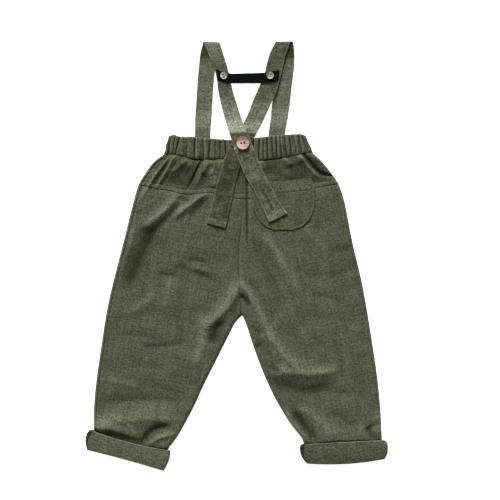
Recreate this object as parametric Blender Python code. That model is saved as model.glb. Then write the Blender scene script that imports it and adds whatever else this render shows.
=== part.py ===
"""Child's suspender trousers, laid flat on a surface with the back side up.

X runs across the garment, +Y points to the waist and +Z up, with the surface at Z = 0.
Every length in the tables is in millimetres, and finished() turns the meshes into metres.
The hidden front half lies flat on the surface, the back half lies on it as a loose, folded
sheet, and the two straps pass from the front waistband over a soft fold at the shoulders to
the buttoned crossing on the back waistband.
"""

import math
from collections import namedtuple

import bmesh
import bpy
from mathutils import Matrix, Vector
from mathutils.bvhtree import BVHTree

MM = 0.001
DRAWING_CENTRE = (0.94, -1.26)   # middle of the whole outline in the tables' own coordinates

# Cloth and fastenings
CLOTH = 1.0                # one layer of the linen
STRAP = 1.6                # a strap is two layers, turned and pressed
ELASTIC = 1.5              # the black band between the straps
CUFF_WALL = 2.0            # a turn-up is two layers of the leg
GAP = 0.3                  # between neighbouring pieces
FRONT_GAP = 0.6            # between the plain front pieces
EDGE_ROUND = 6.0           # how far in from the outline the back sheet rises
PUFF = 4.0                 # how high the back sheet stands off the front one
LEAST_LOFT = 0.3           # what is left of that in the deepest fold
STEEPEST = 1.6             # most that a slope adds to the upright thickness
CUFF_ENTRY = 2.3           # height of the front leg inside its turn-up
CUFF_RISE = 18.0           # length over which a leg climbs into its turn-up
CUFF_CLEAR = 3.0           # it has climbed this far before the turn-up's edge
FOLD_WIDTH_LEAST = 4.0     # narrower folds are widened to what the legs' grid can carry

# Elastic waistband
BAND_FRONT = 2.0           # thickness of the flat front half
BAND_INNER = 2.6           # height of the back half's plain inner face
BAND_LIFT = 1.7            # how much the strap ends raise it
BAND_BACK = 2.1            # thickness of the back half in its grooves
BAND_RIM = 1.2             # and along its edges
GATHER_POINTS = 4          # columns of points in each gather

# Felled yoke seam
FELL_RAISE = 0.5
FELL_START = 0.87          # share of the yoke's height where the felled seam begins

Button = namedtuple("Button", "name x y radius thick hole spread turn")
BUTTONS = (
    Button("button_waist", 10.4, 167.1, 10.5, 3.0, 1.1, 2.3, 15.0),
    Button("button_band_left", -18.0, 268.0, 5.75, 2.2, 0.7, 1.6, -60.0),
    Button("button_band_right", 51.0, 268.2, 5.75, 2.2, 0.7, 1.6, 68.0),
)
BUTTON_SIDES = 24
HOLE_SIDES = 8
BUTTON_DISH = 0.5
BUTTON_RIM = 1.0

# Outlines, each from the waist down (x, y)
HIP_LEFT = ((-108, 151), (-124, 139), (-137, 121), (-146, 106))
HIP_RIGHT = ((115.5, 153), (130, 139), (144, 121.5), (154, 106.5))
SIDE_LEFT = ((-146, 106), (-154.5, 77), (-168, 22.5), (-190.5, -67.5), (-202.5, -139.5), (-210, -193.5),
             (-213.5, -235), (-213.5, -262), (-216, -277), (-217, -286))
SIDE_RIGHT = ((154, 106.5), (163.5, 76.5), (174, 22.5), (190.5, -49.5), (205.5, -139.5), (213, -193.5),
              (217, -240), (218.6, -275), (220, -288), (219.5, -299))
SEAM_UPPER = ((8, 141), (10.5, 110), (11, 84))
SEAM_LOWER = ((11, 84), (9.5, 55), (5, 15), (4, -20), (6, -55), (9, -90))
INSEAM_LEFT = ((9, -90), (-2, -102), (-12, -121.5), (-30, -157.5), (-48, -193.5), (-64.5, -229.5),
               (-84, -265.5), (-93.5, -280), (-102, -291), (-104.5, -302), (-111, -315))
INSEAM_RIGHT = ((9, -90), (15, -103), (27, -139.5), (40.5, -175.5), (57, -211.5), (78, -247.5),
                (92, -266), (99, -275), (101.5, -284), (103, -296), (111, -307))

# Seams across, each from left to right (x, y)
WAIST_SEAM_LEFT = ((-108, 151), (-92, 150), (-73, 145.5), (-58, 143), (-40, 143), (-18, 143.5), (8, 141))
WAIST_SEAM_RIGHT = ((8, 141), (36, 141.5), (62, 144.5), (88, 148.5), (101, 152), (115.5, 153))
YOKE_SEAM_LEFT = ((-146, 106), (-129, 101), (-99, 96), (-81, 91.5), (-60, 91), (-46, 93), (-33, 92.5),
                  (-3, 85), (11, 84))
YOKE_SEAM_RIGHT = ((11, 84), (35, 85), (60, 88), (90, 93), (116.5, 99.5), (137, 104), (154, 106.5))
FRONT_WAIST_SEAM = ((-108, 151), (-55, 143), (8, 141), (60, 144), (115.5, 153))
WAIST_TOP = ((-101, 178), (-93, 180.5), (-84, 177.5), (-60, 176.5), (-18, 173), (10, 172.5), (30, 175),
             (47, 177.5), (77, 180.3), (98, 181), (105, 178))

# Gathers of the waistband: grooves from left to right, between its two ends
Groove = namedtuple("Groove", "top bottom depth")
GROOVES = [Groove(*row) for row in (
    (-101, -108, 0.0),
    (-97, -101, 1.2), (-90.5, -95, 1.0), (-84, -91, 1.3), (-74, -74, 1.3), (-61, -62, 1.7),
    (-49.5, -48.5, 1.7), (-38, -40.5, 1.4), (-30, -31, 0.8), (-23, -23.5, 1.1), (-16, -15, 1.4),
    (-6, -7, 0.6), (4, 3, 0.6), (14, 13, 0.6), (25.5, 26, 1.2), (35.5, 34.5, 1.7),
    (40.5, 41.5, 1.0), (46.5, 48, 1.2), (53.5, 56, 1.3), (60, 61.5, 1.7), (66, 68.5, 0.9),
    (72, 76, 1.2), (79.5, 84, 1.1), (86.5, 91, 1.0), (93.5, 98.5, 1.7), (99, 106, 1.1),
    (105, 115.5, 0.0),
)]

# Folds of the back sheet. A fold runs from (x0, y0) to (x1, y1), bends by bow to the left of that
# way, has one half-width to the left and one to the right, and stands up or sinks by height.
Fold = namedtuple("Fold", "x0 y0 x1 y1 bow left right height")
FOLDS = [Fold(*row) for row in (
    # left yoke: two close pleats at the hip, a sharp slit and its hump
    (-99, 147, -141, 90, -2, 4, 4, 3.0),
    (-91, 152, -116, 110, 1, 4, 4, 3.4),
    (-101, 136, -121, 107, 0, 3, 3, -2.6),
    (-90, 137, -114, 105, 1, 4.5, 3, -2.8),
    (-71, 146, -96, 124, 1, 5, 5, 2.0),
    (-73, 130, -97, 104, 0, 13, 13, -2.0),
    (-50, 145, -72, 101, 0, 4, 2.5, -3.4),
    (-43, 143, -60, 103, 0, 5, 6, 2.6),
    (-38, 140, -50, 122, 0, 4, 4, 1.6),
    (-47, 119, -40, 112, 0, 4, 4, -1.6),
    # left leg, under the yoke seam
    (-86, 88, -138, 41, 3, 8, 7, 4.0),
    (-82, 82, -140, 24, 3, 5, 7, -3.0),
    (-88, 86, -66, 77, 0, 4, 4, -1.8),
    (-45, 92, -92, 56, -1, 5, 4.5, 3.4),
    (-40, 86, -67, 57, 0, 6, 7, -2.6),
    # left leg, from the crotch down
    (5, -52, -45, -108, 7, 7, 6, 3.4),
    (-41, -98, -61, -166, 4, 8, 8, 2.6),
    (-25, -100, -37, -130, 0, 9, 8, -2.6),
    (-84, -17, -28, -37, 2, 5, 5, -1.8),
    (-95, -39, -108, -82, 0, 7, 7, 1.6),
    (-124, -60, -162, -88, 3, 7, 7, 1.6),
    (-138, -137, -70, -130, -3, 5, 5, -1.3),
    # left leg, gathered above its turn-up
    (-200, -222, -70, -221, 4, 8, 7, -2.0),
    (-212, -247, -76, -236, 4, 9, 9, 3.0),
    (-203, -262, -138, -283, -4, 5, 6, -2.4),
    (-139, -282, -100, -256, 7, 4, 4.5, -3.0),
    (-131, -284, -94, -268, 3, 4, 4, 2.8),
    # right yoke: the deep pleat beside the hip and the tube outside it
    (99, 155, 127, 121, -1, 3.5, 2.8, -4.0),
    (122, 124, 146, 119, -2, 3, 3, -3.2),
    (94, 153, 125, 117, -2, 2.6, 3, 1.6),
    (105, 154, 143, 122, 4, 6, 5.5, 4.0),
    (84, 142, 107, 120, 0, 12, 12, -2.0),
    (70, 145, 83, 134, 0, 4, 4, 1.6),
    (64, 134, 86, 116, -3, 6, 6, 1.6),
    (36, 140, 41, 128, 0, 4, 4, 1.5),
    # beside the centre seam, and the right leg
    (17, 108, 17, 24, 0, 3.5, 4, -2.4),
    (40, 30, 98, -50, 3, 10, 10, 2.4),
    (7, -46, 50, -121, 3, 7, 5.5, 3.6),
    (48, -117, 95, -172, -4, 8, 6.5, 3.8),
    (92, -168, 150, -172, -4, 8, 7, 3.0),
    (57, -186, 152, -187, -13, 6, 8, -3.8),
    (31, -135, 54, -152, 0, 6, 6, -2.4),
    (174, 10, 146, 6, 0, 4, 4, -1.5),
    (181, -20, 140, -32, 0, 4, 4, -1.5),
    # right leg, gathered above its turn-up
    (72, -235, 107, -278, 0, 4, 4, 2.8),
    (86, -235, 121, -281, 0, 5, 4.5, -3.0),
    (98, -230, 146, -272, 3, 9, 9, 2.8),
    (197, -259, 207, -278, 0, 5, 5, -2.0),
    (211, -236, 214, -270, 0, 4, 4, 1.8),
)]

# Rounded patch pocket: left and right edges at each height, from its open top down
PocketRow = namedtuple("PocketRow", "left left_y right right_y")
POCKET = [PocketRow(*row) for row in (
    (19, 110.5, 111.5, 115.5),
    (18.5, 100, 116.5, 103),
    (20.5, 88.5, 117.5, 89),
    (24.5, 74, 117, 73),
    (31, 58.5, 112.5, 58.5),
    (38, 48.5, 105.5, 48.5),
    (46, 42, 96, 41.5),
    (56, 38, 85, 37.5),
)]
POCKET_COLUMNS = 12
POCKET_TOP_DIP = 2.5       # how far the open edge sags between its corners
POCKET_CENTRE = (68, 78)
POCKET_REACH = (62, 52)    # the panels under the pocket keep only part of their folds
POCKET_CALM = 0.7

# Turn-ups: left and right ends and the outer height, from the open edge down
CuffRow = namedtuple("CuffRow", "left left_y right right_y bow height")
CUFFS = {
    "cuff_left": [CuffRow(*row) for row in (
        (-218.5, -261, -98, -292.5, -3.5, 9.0),
        (-223.5, -267.5, -98.5, -298, -2.5, 8.8),
        (-225.5, -279, -101, -309, -0.5, 8.0),
        (-223, -291.5, -108, -323, 1.0, 7.2),
    )],
    "cuff_right": [CuffRow(*row) for row in (
        (97, -283.5, 223.5, -277, 0.5, 9.0),
        (95.5, -289, 227, -283, -0.5, 8.8),
        (97.5, -300.5, 227, -295.5, -2.5, 8.0),
        (106, -312, 223, -305, -4.0, 7.2),
    )],
}
CUFF_STATIONS = 6
CUFF_END_SIDES = 6
CUFF_FLAT_SIDES = 12
CUFF_RIM = 0.6             # how far each rim of the turn-up is rounded

# Straps: both edges of each station, and the height of the middle where nothing carries it.
# The front run climbs from its hidden end to the shoulder fold, the back run comes down
# from it to the hanging tail.
StrapRow = namedtuple("StrapRow", "left left_y right right_y height")
STRAP_RUNS = {
    "strap_right": (
        [StrapRow(*row) for row in (
            (48, 153, 72.5, 153, 0.8), (48.5, 180, 73, 180, 0.8), (51.5, 202, 77, 202, 0.8),
            (54, 225, 80.5, 225, 0.8), (58, 252, 83.5, 252, 0.8), (61.5, 283, 87.3, 283, 0.8),
            (61.5, 304, 87.3, 304, 0.8), (60, 317, 86, 317.5, 0.8),
        )],
        [StrapRow(*row) for row in (
            (58.5, 317, 81, 317.5, 4.8), (51.5, 304, 75.5, 303, 4.6), (46.5, 288, 71.5, 287, 4.4),
            (42, 269, 66.5, 265, 4.4), (34, 250, 60, 243, 4.4), (27, 235, 51, 223.5, 4.8),
            (18, 211.5, 41.5, 202.5, 5.6), (7, 190, 33, 186, 6.4), (-6, 169, 20.5, 163, 0),
            (-14.5, 152, 11, 143, 0), (-21, 134, 4.8, 128, 0), (-28, 108, -2, 103, 0),
            (-34.3, 83, -7, 78, 0), (-40.5, 60, -12, 56, 0), (-44, 47.5, -16.2, 40, 0),
        )],
    ),
    "strap_left": (
        [StrapRow(*row) for row in (
            (-62.5, 153, -38, 153, 0.8), (-61.5, 180, -38.5, 180, 0.8), (-61.5, 202, -37, 202, 0.8),
            (-60, 225, -35.5, 225, 0.8), (-58.3, 252, -34, 252, 0.8), (-55.8, 283, -31, 283, 0.8),
            (-53, 304, -28.5, 304, 0.8), (-49.5, 317.5, -25, 316.5, 0.8),
        )],
        [StrapRow(*row) for row in (
            (-47, 317, -23.5, 316, 4.8), (-42, 303, -20, 304, 4.6), (-36, 289, -16, 292, 4.4),
            (-30, 270, -10.8, 273, 4.4), (-26.5, 245, -5.5, 248, 4.4), (-21.5, 222, 1.5, 226, 4.8),
            (-15.5, 200, 8, 205, 6.6), (-8.5, 178, 16, 184, 9.0), (-1.7, 157, 24, 166, 0),
            (6, 136, 32.8, 143, 0), (15, 116, 42.7, 121.5, 0), (28, 94, 54, 99.5, 0),
            (40, 70, 66, 78, 0), (49.5, 48.5, 77, 62, 0),
        )],
    ),
}
STRAP_STEP = 7.0           # length of a strap between two stations
STRAP_LANES = 3            # points across
FOLD_TURN = 6              # stations round the shoulder fold
SAG_SLOPE = 0.15           # how fast a strap sinks beside what carries it
STRAP_REACH = 6.5          # how far round a point its support is felt

# Elastic band between the straps, from left to right: upper and lower edge
BandRow = namedtuple("BandRow", "left left_y right right_y height")
CROSS_BAND = [BandRow(*row) for row in (
    (-30, 277.5, -28, 262.5, 5.6), (-18, 273.5, -16.5, 259, 5.6), (-7, 271.5, -6.5, 257, 5.6),
    (17, 272, 17, 257, 5.6), (38, 272.5, 37, 257, 5.6), (50, 273.8, 49, 258.5, 5.6),
    (64.5, 276.6, 63, 261, 5.6),
)]

# Grids of the panels
EDGE_STEPS = (0.0, 1.5, 4.0, 8.0)   # points close to the rounded outline, then even ones
LegGrid = namedtuple("LegGrid", "columns seam_rows inseam_rows entry_rows")
BACK_GRID = LegGrid(11, 13, 13, (18.0, 12.0, 7.0, 3.0, -2.0))   # entry rows: height above the turn-up
FRONT_GRID = LegGrid(4, 8, 7, (21.0, 12.0, 3.0, -2.0))
YOKE_COLUMNS = 33
YOKE_ROWS = (0.0, 0.14, 0.28, 0.42, 0.56, 0.7, 0.82, 0.87, 0.89, 1.0)
BAND_ROWS = (0.0, 0.1, 0.5, 0.9, 1.0)
CROTCH_SHARE = 0.43        # share of the side's length above the crotch
SEAM_SLACK = 0.3           # keeps the legs' straight steps clear of the curved yoke seam

Finish = namedtuple("Finish", "colour roughness metallic")
LINEN = Finish((0.098, 0.107, 0.066), 0.92, 0.0)
LINEN_LIGHT = Finish((0.140, 0.150, 0.105), 0.92, 0.0)
BLACK_ELASTIC = Finish((0.010, 0.010, 0.011), 0.85, 0.0)
PINK_WOOD = Finish((0.53, 0.34, 0.26), 0.45, 0.0)
PALE_WOOD = Finish((0.45, 0.38, 0.30), 0.5, 0.0)


def clear_scene():
    """Remove every object that the file opened with."""
    for item in list(bpy.data.objects):
        bpy.data.objects.remove(item, do_unlink=True)


def clamp(value, low=0.0, high=1.0):
    return max(low, min(high, value))


def smoothstep(value):
    t = clamp(value)
    return t * t * (3.0 - 2.0 * t)


def mix(a, b, share):
    return a + (b - a) * share


def mix_points(a, b, c, d, u, v):
    """Bilinear point of the corners a, b (above) and c, d (below)."""
    return a.lerp(b, u).lerp(c.lerp(d, u), v)


def spline(a, b, c, d, t):
    """Catmull-Rom value between b and c."""
    cubic = 3 * b - a - 3 * c + d
    square = 2 * a - 5 * b + 4 * c - d
    return 0.5 * (2 * b + (c - a) * t + square * t ** 2 + cubic * t ** 3)


def smooth_path(points, per_span=10):
    """Points of a smooth curve through the given ones."""
    knots = [Vector(p) for p in points]
    knots = [knots[0] * 2 - knots[1]] + knots + [knots[-1] * 2 - knots[-2]]
    path = []
    for quad in zip(knots, knots[1:], knots[2:], knots[3:]):
        path += [spline(*quad, k / per_span) for k in range(per_span)]
    path.append(knots[-2])
    return path


def smooth_rows(table, count):
    """Rows spaced evenly along a table, with each column read from a smooth curve."""
    padded = [table[0]] + table + [table[-1]]
    rows = []
    for k in range(count):
        place = k / (count - 1) * (len(table) - 1)
        first = min(int(place), len(table) - 2)
        quads = zip(*padded[first:first + 4])
        rows.append(type(table[0])(*(spline(*quad, place - first) for quad in quads)))
    return rows


def at_share(path, share):
    """The point at a share of a path's length."""
    lengths = [(b - a).length for a, b in zip(path, path[1:])]
    left = clamp(share) * sum(lengths)
    for a, b, length in zip(path, path[1:], lengths):
        if left <= length:
            return a.lerp(b, left / length)
        left -= length
    return path[-1].copy()


def height_at(path, x):
    """The path's y where it passes x, for a path that runs from left to right."""
    for a, b in zip(path, path[1:]):
        if x <= b.x:
            return mix(a.y, b.y, clamp((x - a.x) / (b.x - a.x)))
    return path[-1].y


def moved(path, dx=0.0, dy=0.0):
    return [p + Vector((dx, dy)) for p in path]


def distance_to(path, x, y):
    """Distance from (x, y) to the nearest stretch of a path."""
    p = Vector((x, y))
    best = math.inf
    for a, b in zip(path, path[1:]):
        run = b - a
        t = clamp((p - a).dot(run) / run.length_squared)
        best = min(best, (p - a - run * t).length)
    return best


OUTLINES = {
    "left": [smooth_path(HIP_LEFT + SIDE_LEFT[1:], 4), smooth_path(INSEAM_LEFT, 4)],
    "right": [smooth_path(HIP_RIGHT + SIDE_RIGHT[1:], 4), smooth_path(INSEAM_RIGHT, 4)],
}
CENTRE = smooth_path(SEAM_UPPER + SEAM_LOWER[1:], 4)
WAIST_LINE = smooth_path(WAIST_TOP)
WAIST_SEAM = smooth_path(WAIST_SEAM_LEFT + WAIST_SEAM_RIGHT[1:])
FRONT_SEAM = smooth_path(FRONT_WAIST_SEAM)


# The shape of the sheets -------------------------------------------------------------------

def rise_from_edge(distance, reach):
    """0 at an edge, 1 beyond its reach, rising in a quarter circle."""
    t = clamp(distance / reach)
    return math.sqrt(1.0 - (1.0 - t) ** 2)


def fold_height(fold, x, y):
    """Height that one fold adds at (x, y)."""
    run_x, run_y = fold.x1 - fold.x0, fold.y1 - fold.y0
    length = math.hypot(run_x, run_y)
    along = ((x - fold.x0) * run_x + (y - fold.y0) * run_y) / length ** 2
    if not -0.2 < along < 1.2:
        return 0.0
    across = ((y - fold.y0) * run_x - (x - fold.x0) * run_y) / length
    across -= fold.bow * 4 * along * (1 - along)
    width = max(FOLD_WIDTH_LEAST, fold.left if across > 0 else fold.right)
    fade = smoothstep((0.65 - abs(along - 0.5)) / 0.35)
    return fold.height * fade * math.exp(-(across / width) ** 2)


def all_folds(x, y):
    """Height of every fold together, calmer under the pocket."""
    total = sum(fold_height(fold, x, y) for fold in FOLDS)
    spread = math.hypot((x - POCKET_CENTRE[0]) / POCKET_REACH[0], (y - POCKET_CENTRE[1]) / POCKET_REACH[1])
    return total * (1.0 - POCKET_CALM * smoothstep((1.25 - spread) / 0.45))


def above_cuff(side, x, y):
    """Height of (x, y) above the open edge of a leg's turn-up."""
    top = CUFFS["cuff_" + side][0]
    run = Vector((top.right - top.left, top.right_y - top.left_y))
    above = (run.x * (y - top.left_y) - run.y * (x - top.left)) / run.length
    share = clamp(((x - top.left) * run.x + (y - top.left_y) * run.y) / run.length_squared)
    return above - top.bow * 4 * share * (1 - share)


def into_cuff(side, x, y):
    """0 on the open leg, 1 where it lies inside its turn-up."""
    return smoothstep((CUFF_RISE + CUFF_CLEAR - above_cuff(side, x, y)) / CUFF_RISE)


def back_inner(side, x, y):
    """Height of the back sheet's lower face."""
    edge = min(distance_to(path, x, y) for path in OUTLINES[side])
    middle = distance_to(CENTRE, x, y)
    loft = PUFF + all_folds(x, y) - 1.2 * math.exp(-(middle / 5.0) ** 2)
    height = CLOTH + GAP + rise_from_edge(edge, EDGE_ROUND) * max(LEAST_LOFT, loft)
    inside = CUFF_ENTRY + CLOTH + GAP
    return mix(height, inside, into_cuff(side, x, y))


def upright_thickness(height, x, y, step=1.5):
    """Upright thickness that keeps one layer's true thickness on a slope."""
    slope_x = (height(x + step, y) - height(x - step, y)) / (2 * step)
    slope_y = (height(x, y + step) - height(x, y - step)) / (2 * step)
    return CLOTH * min(STEEPEST, math.sqrt(1.0 + slope_x ** 2 + slope_y ** 2))


# Meshes -----------------------------------------------------------------------------------

def make_material(name, finish):
    material = bpy.data.materials.new(name)
    material.use_nodes = True
    shader = material.node_tree.nodes["Principled BSDF"]
    shader.inputs["Base Color"].default_value = (*finish.colour, 1.0)
    shader.inputs["Roughness"].default_value = finish.roughness
    shader.inputs["Metallic"].default_value = finish.metallic
    return material


def finished(name, mesh, finish, sharp=40.0):
    """Turn a bmesh in millimetres into a linked object in metres, and return its surface."""
    bmesh.ops.recalc_face_normals(mesh, faces=mesh.faces[:])
    if mesh.calc_volume(signed=True) < 0.0:
        bmesh.ops.reverse_faces(mesh, faces=mesh.faces[:])
    surface = BVHTree.FromBMesh(mesh)
    bmesh.ops.translate(mesh, vec=(-DRAWING_CENTRE[0], -DRAWING_CENTRE[1], 0.0), verts=mesh.verts[:])
    bmesh.ops.scale(mesh, vec=(MM, MM, MM), verts=mesh.verts[:])
    data = bpy.data.meshes.new(name)
    mesh.to_mesh(data)
    mesh.free()
    data.shade_smooth()
    data.set_sharp_from_angle(angle=math.radians(sharp))
    data.materials.append(make_material(name, finish))
    item = bpy.data.objects.new(name, data)
    bpy.context.scene.collection.objects.link(item)
    return item, surface


def wall(name, finish, columns, rows, lower, upper):
    """A closed sheet from a grid: lower(i, j) and upper(i, j) give its two faces."""
    mesh = bmesh.new()
    bmesh.ops.create_grid(mesh, x_segments=columns, y_segments=rows, size=0.5)
    under = list(mesh.verts)
    extruded = bmesh.ops.extrude_face_region(mesh, geom=mesh.faces[:], use_keep_orig=True)
    over = [g for g in extruded["geom"] if isinstance(g, bmesh.types.BMVert)]
    for verts, face in ((under, lower), (over, upper)):
        for v in verts:
            i, j = round((v.co.x + 0.5) * columns), round((0.5 - v.co.y) * rows)
            v.co = face(i, j)
    return finished(name, mesh, finish)


def ring_wall(name, finish, rings):
    """A closed wall through a cycle of rings with equal numbers of points."""
    mesh = bmesh.new()
    loops = []
    for ring in rings:
        verts = bmesh.ops.create_circle(mesh, segments=len(ring), radius=1.0)["verts"]
        for v, p in zip(verts, ring):
            v.co = p
        loops.append(list({edge for v in verts for edge in v.link_edges}))
    for loop, following in zip(loops, loops[1:] + loops[:1]):
        bmesh.ops.bridge_loops(mesh, edges=loop + following)
    return finished(name, mesh, finish)


def rest_height(surfaces, x, y, reach):
    """Top of whatever lies under a small round patch about (x, y)."""
    down = Vector((0.0, 0.0, -1.0))
    spots = [(0.0, 0.0)]
    for share in (0.5, 1.0):
        spots += [(share * math.cos(a), share * math.sin(a)) for a in (k * math.pi / 4 for k in range(8))]
    best = 0.0
    for dx, dy in spots:
        start = Vector((x + dx * reach, y + dy * reach, 100.0))
        for surface in surfaces:
            hit = surface.ray_cast(start, down)[0]
            if hit is not None:
                best = max(best, hit.z)
    return best


# Panels -----------------------------------------------------------------------------------

def spread(width, inner_columns, both_ends):
    """Shares across a panel: close steps at the rounded outline, then even ones."""
    close = [step / width for step in EDGE_STEPS]
    far = [1.0 - step for step in reversed(close)] if both_ends else [1.0]
    start, end = close[-1], far[0]
    even = [mix(start, end, k / inner_columns) for k in range(1, inner_columns)]
    return close + even + far


def share_above_cuff(path, side, height):
    """Share of a path, which runs down into a turn-up, where it is so far above the edge."""
    low, high = 0.4, 1.0
    for _ in range(30):
        middle = (low + high) / 2
        p = at_share(path, middle)
        if above_cuff(side, p.x, p.y) > height:
            low = middle
        else:
            high = middle
    return low


def leg_edges(side, grid, with_hip):
    """Outer and inner end of every row of a leg panel, from its top edge to its hem."""
    hip, rest = (HIP_LEFT, SIDE_LEFT) if side == "left" else (HIP_RIGHT, SIDE_RIGHT)
    inseam = smooth_path(INSEAM_LEFT if side == "left" else INSEAM_RIGHT)
    outer = smooth_path(hip + rest[1:] if with_hip else rest)
    away = -GAP / 2 if side == "left" else GAP / 2
    seam = smooth_path(SEAM_UPPER + SEAM_LOWER[1:] if with_hip else SEAM_LOWER)
    pairs = []
    for k in range(grid.seam_rows):
        share = k / grid.seam_rows
        pairs.append((at_share(outer, share * CROTCH_SHARE), at_share(seam, share) + Vector((away, 0))))
    entries = [(share_above_cuff(outer, side, h), share_above_cuff(inseam, side, h)) for h in grid.entry_rows]
    shares = [(mix(CROTCH_SHARE, entries[0][0], k / grid.inseam_rows), entries[0][1] * k / grid.inseam_rows)
              for k in range(grid.inseam_rows)]
    for outer_share, inner_share in shares + entries + [(1.0, 1.0)]:
        inner = at_share(inseam, inner_share) + Vector((away * (1 - inner_share), 0))
        pairs.append((at_share(outer, outer_share), inner))
    return pairs


def panel_points(pairs, shares, top_edge, top_shift, hold):
    """Plan points of a panel. Its top row follows top_edge, and the rows below ease off it."""
    grid = []
    for j, (outer, inner) in enumerate(pairs):
        row = [outer.lerp(inner, share) for share in shares]
        ease = (1.0 - smoothstep(j / hold)) if hold else 0.0
        if ease > 0.0:
            for k, share in enumerate(shares):
                chord = pairs[0][0].lerp(pairs[0][1], share)
                wanted = Vector((chord.x, height_at(top_edge, chord.x) + top_shift))
                row[k] = row[k] + (wanted - chord) * ease
        grid.append(row)
    return grid


def back_leg(side):
    pairs = leg_edges(side, BACK_GRID, with_hip=False)
    width = (pairs[0][1] - pairs[0][0]).length
    shares = spread(width, BACK_GRID.columns, both_ends=True)
    seam = smooth_path(YOKE_SEAM_LEFT if side == "left" else YOKE_SEAM_RIGHT)
    grid = panel_points(pairs, shares, seam, -GAP / 2 - SEAM_SLACK, hold=6)

    def inner(x, y):
        return back_inner(side, x, y)

    heights = [[inner(p.x, p.y) for p in row] for row in grid]
    thick = [[upright_thickness(inner, p.x, p.y) for p in row] for row in grid]

    def lower(i, j):
        return (grid[j][i].x, grid[j][i].y, heights[j][i])

    def upper(i, j):
        return (grid[j][i].x, grid[j][i].y, heights[j][i] + thick[j][i])

    return wall("back_leg_" + side, LINEN, len(shares) - 1, len(pairs) - 1, lower, upper)


def yoke(side):
    """Back yoke half, from the waistband seam down to the felled yoke seam."""
    left = side == "left"
    away = -GAP / 2 if left else GAP / 2
    top = moved(smooth_path(WAIST_SEAM_LEFT if left else WAIST_SEAM_RIGHT), dy=-GAP / 2)
    bottom = moved(smooth_path(YOKE_SEAM_LEFT if left else YOKE_SEAM_RIGHT), dy=GAP / 2)
    outer = smooth_path(HIP_LEFT if left else HIP_RIGHT)
    centre = moved(smooth_path(SEAM_UPPER), dx=away)
    shares = spread((bottom[0] - bottom[-1]).length, YOKE_COLUMNS, both_ends=False)
    if not left:
        top.reverse()
        bottom.reverse()

    def plan(i, j):
        """A Coons patch between the four edges."""
        u, v = shares[i], YOKE_ROWS[j]
        across = at_share(top, u).lerp(at_share(bottom, u), v)
        down = at_share(outer, v).lerp(at_share(centre, v), u)
        corners = mix_points(top[0], top[-1], bottom[0], bottom[-1], u, v)
        return across + down - corners

    def inner(x, y):
        return back_inner(side, x, y)

    def lower(i, j):
        p = plan(i, j)
        return (p.x, p.y, inner(p.x, p.y))

    def upper(i, j):
        p = plan(i, j)
        fell = FELL_RAISE if YOKE_ROWS[j] > FELL_START else 0.0
        return (p.x, p.y, inner(p.x, p.y) + upright_thickness(inner, p.x, p.y) + fell)

    return wall("yoke_" + side, LINEN, len(shares) - 1, len(YOKE_ROWS) - 1, lower, upper)


def front_leg(side):
    """The hidden front panel, flat on the surface and lifted only into its turn-up."""
    pairs = leg_edges(side, FRONT_GRID, with_hip=True)
    width = (pairs[0][1] - pairs[0][0]).length
    shares = spread(width, FRONT_GRID.columns, both_ends=True)
    grid = panel_points(pairs, shares, FRONT_SEAM, -FRONT_GAP, hold=3)

    def lower(i, j):
        p = grid[j][i]
        return (p.x, p.y, CUFF_ENTRY * into_cuff(side, p.x, p.y))

    def upper(i, j):
        x, y, z = lower(i, j)
        return (x, y, z + CLOTH)

    return wall("front_leg_" + side, LINEN, len(shares) - 1, len(pairs) - 1, lower, upper)


# Waistband --------------------------------------------------------------------------------

def over_strap_end(x):
    """1 over the hidden front end of a strap, 0 away from it."""
    share = 0.0
    for front, _ in STRAP_RUNS.values():
        middle = (front[0].left + front[0].right) / 2
        half = (front[0].right - front[0].left) / 2
        share = max(share, smoothstep((half + 14.0 - abs(x - middle)) / 10.0))
    return share


def waistband_back():
    """Gathered back half of the casing: rounded humps between grooves over a plain inside."""
    columns = []
    for left, right in zip(GROOVES, GROOVES[1:]):
        for k in range(GATHER_POINTS):
            t = k / GATHER_POINTS
            swell = math.sin(math.pi * t) ** 0.7 * (left.depth + right.depth) / 2
            columns.append((mix(left.top, right.top, t), mix(left.bottom, right.bottom, t), swell))
    columns.append((GROOVES[-1].top, GROOVES[-1].bottom, 0.0))

    def lower(i, j):
        x_top, x_bottom, _ = columns[i]
        top = Vector((x_top, height_at(WAIST_LINE, x_top)))
        bottom = Vector((x_bottom, height_at(WAIST_SEAM, x_bottom) + GAP / 2))
        p = top.lerp(bottom, BAND_ROWS[j])
        return (p.x, p.y, BAND_INNER + BAND_LIFT * over_strap_end(p.x))

    def upper(i, j):
        x, y, z = lower(i, j)
        end = min(x - lower(0, j)[0], lower(len(columns) - 1, j)[0] - x)
        rim = rise_from_edge(min(BAND_ROWS[j], 1 - BAND_ROWS[j]), 0.3) * rise_from_edge(end, 5.0)
        return (x, y, z + mix(BAND_RIM, BAND_BACK + columns[i][2], rim))

    return wall("waistband_back", LINEN, len(columns) - 1, len(BAND_ROWS) - 1, lower, upper)


def waistband_front():
    """Flat front half of the casing, just inside the outline of the back one."""
    columns, rows, inset = 24, 2, 0.6
    left, right = GROOVES[0], GROOVES[-1]

    def lower(i, j):
        t = i / columns
        x_top = mix(left.top + inset, right.top - inset, t)
        x_bottom = mix(left.bottom + inset, right.bottom - inset, t)
        top = Vector((x_top, height_at(WAIST_LINE, x_top) - inset))
        bottom = Vector((x_bottom, height_at(FRONT_SEAM, x_bottom)))
        p = top.lerp(bottom, j / rows)
        return (p.x, p.y, 0.0)

    def upper(i, j):
        x, y, _ = lower(i, j)
        return (x, y, BAND_FRONT)

    return wall("waistband_front", LINEN, columns, rows, lower, upper)


# Turn-ups ---------------------------------------------------------------------------------

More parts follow.
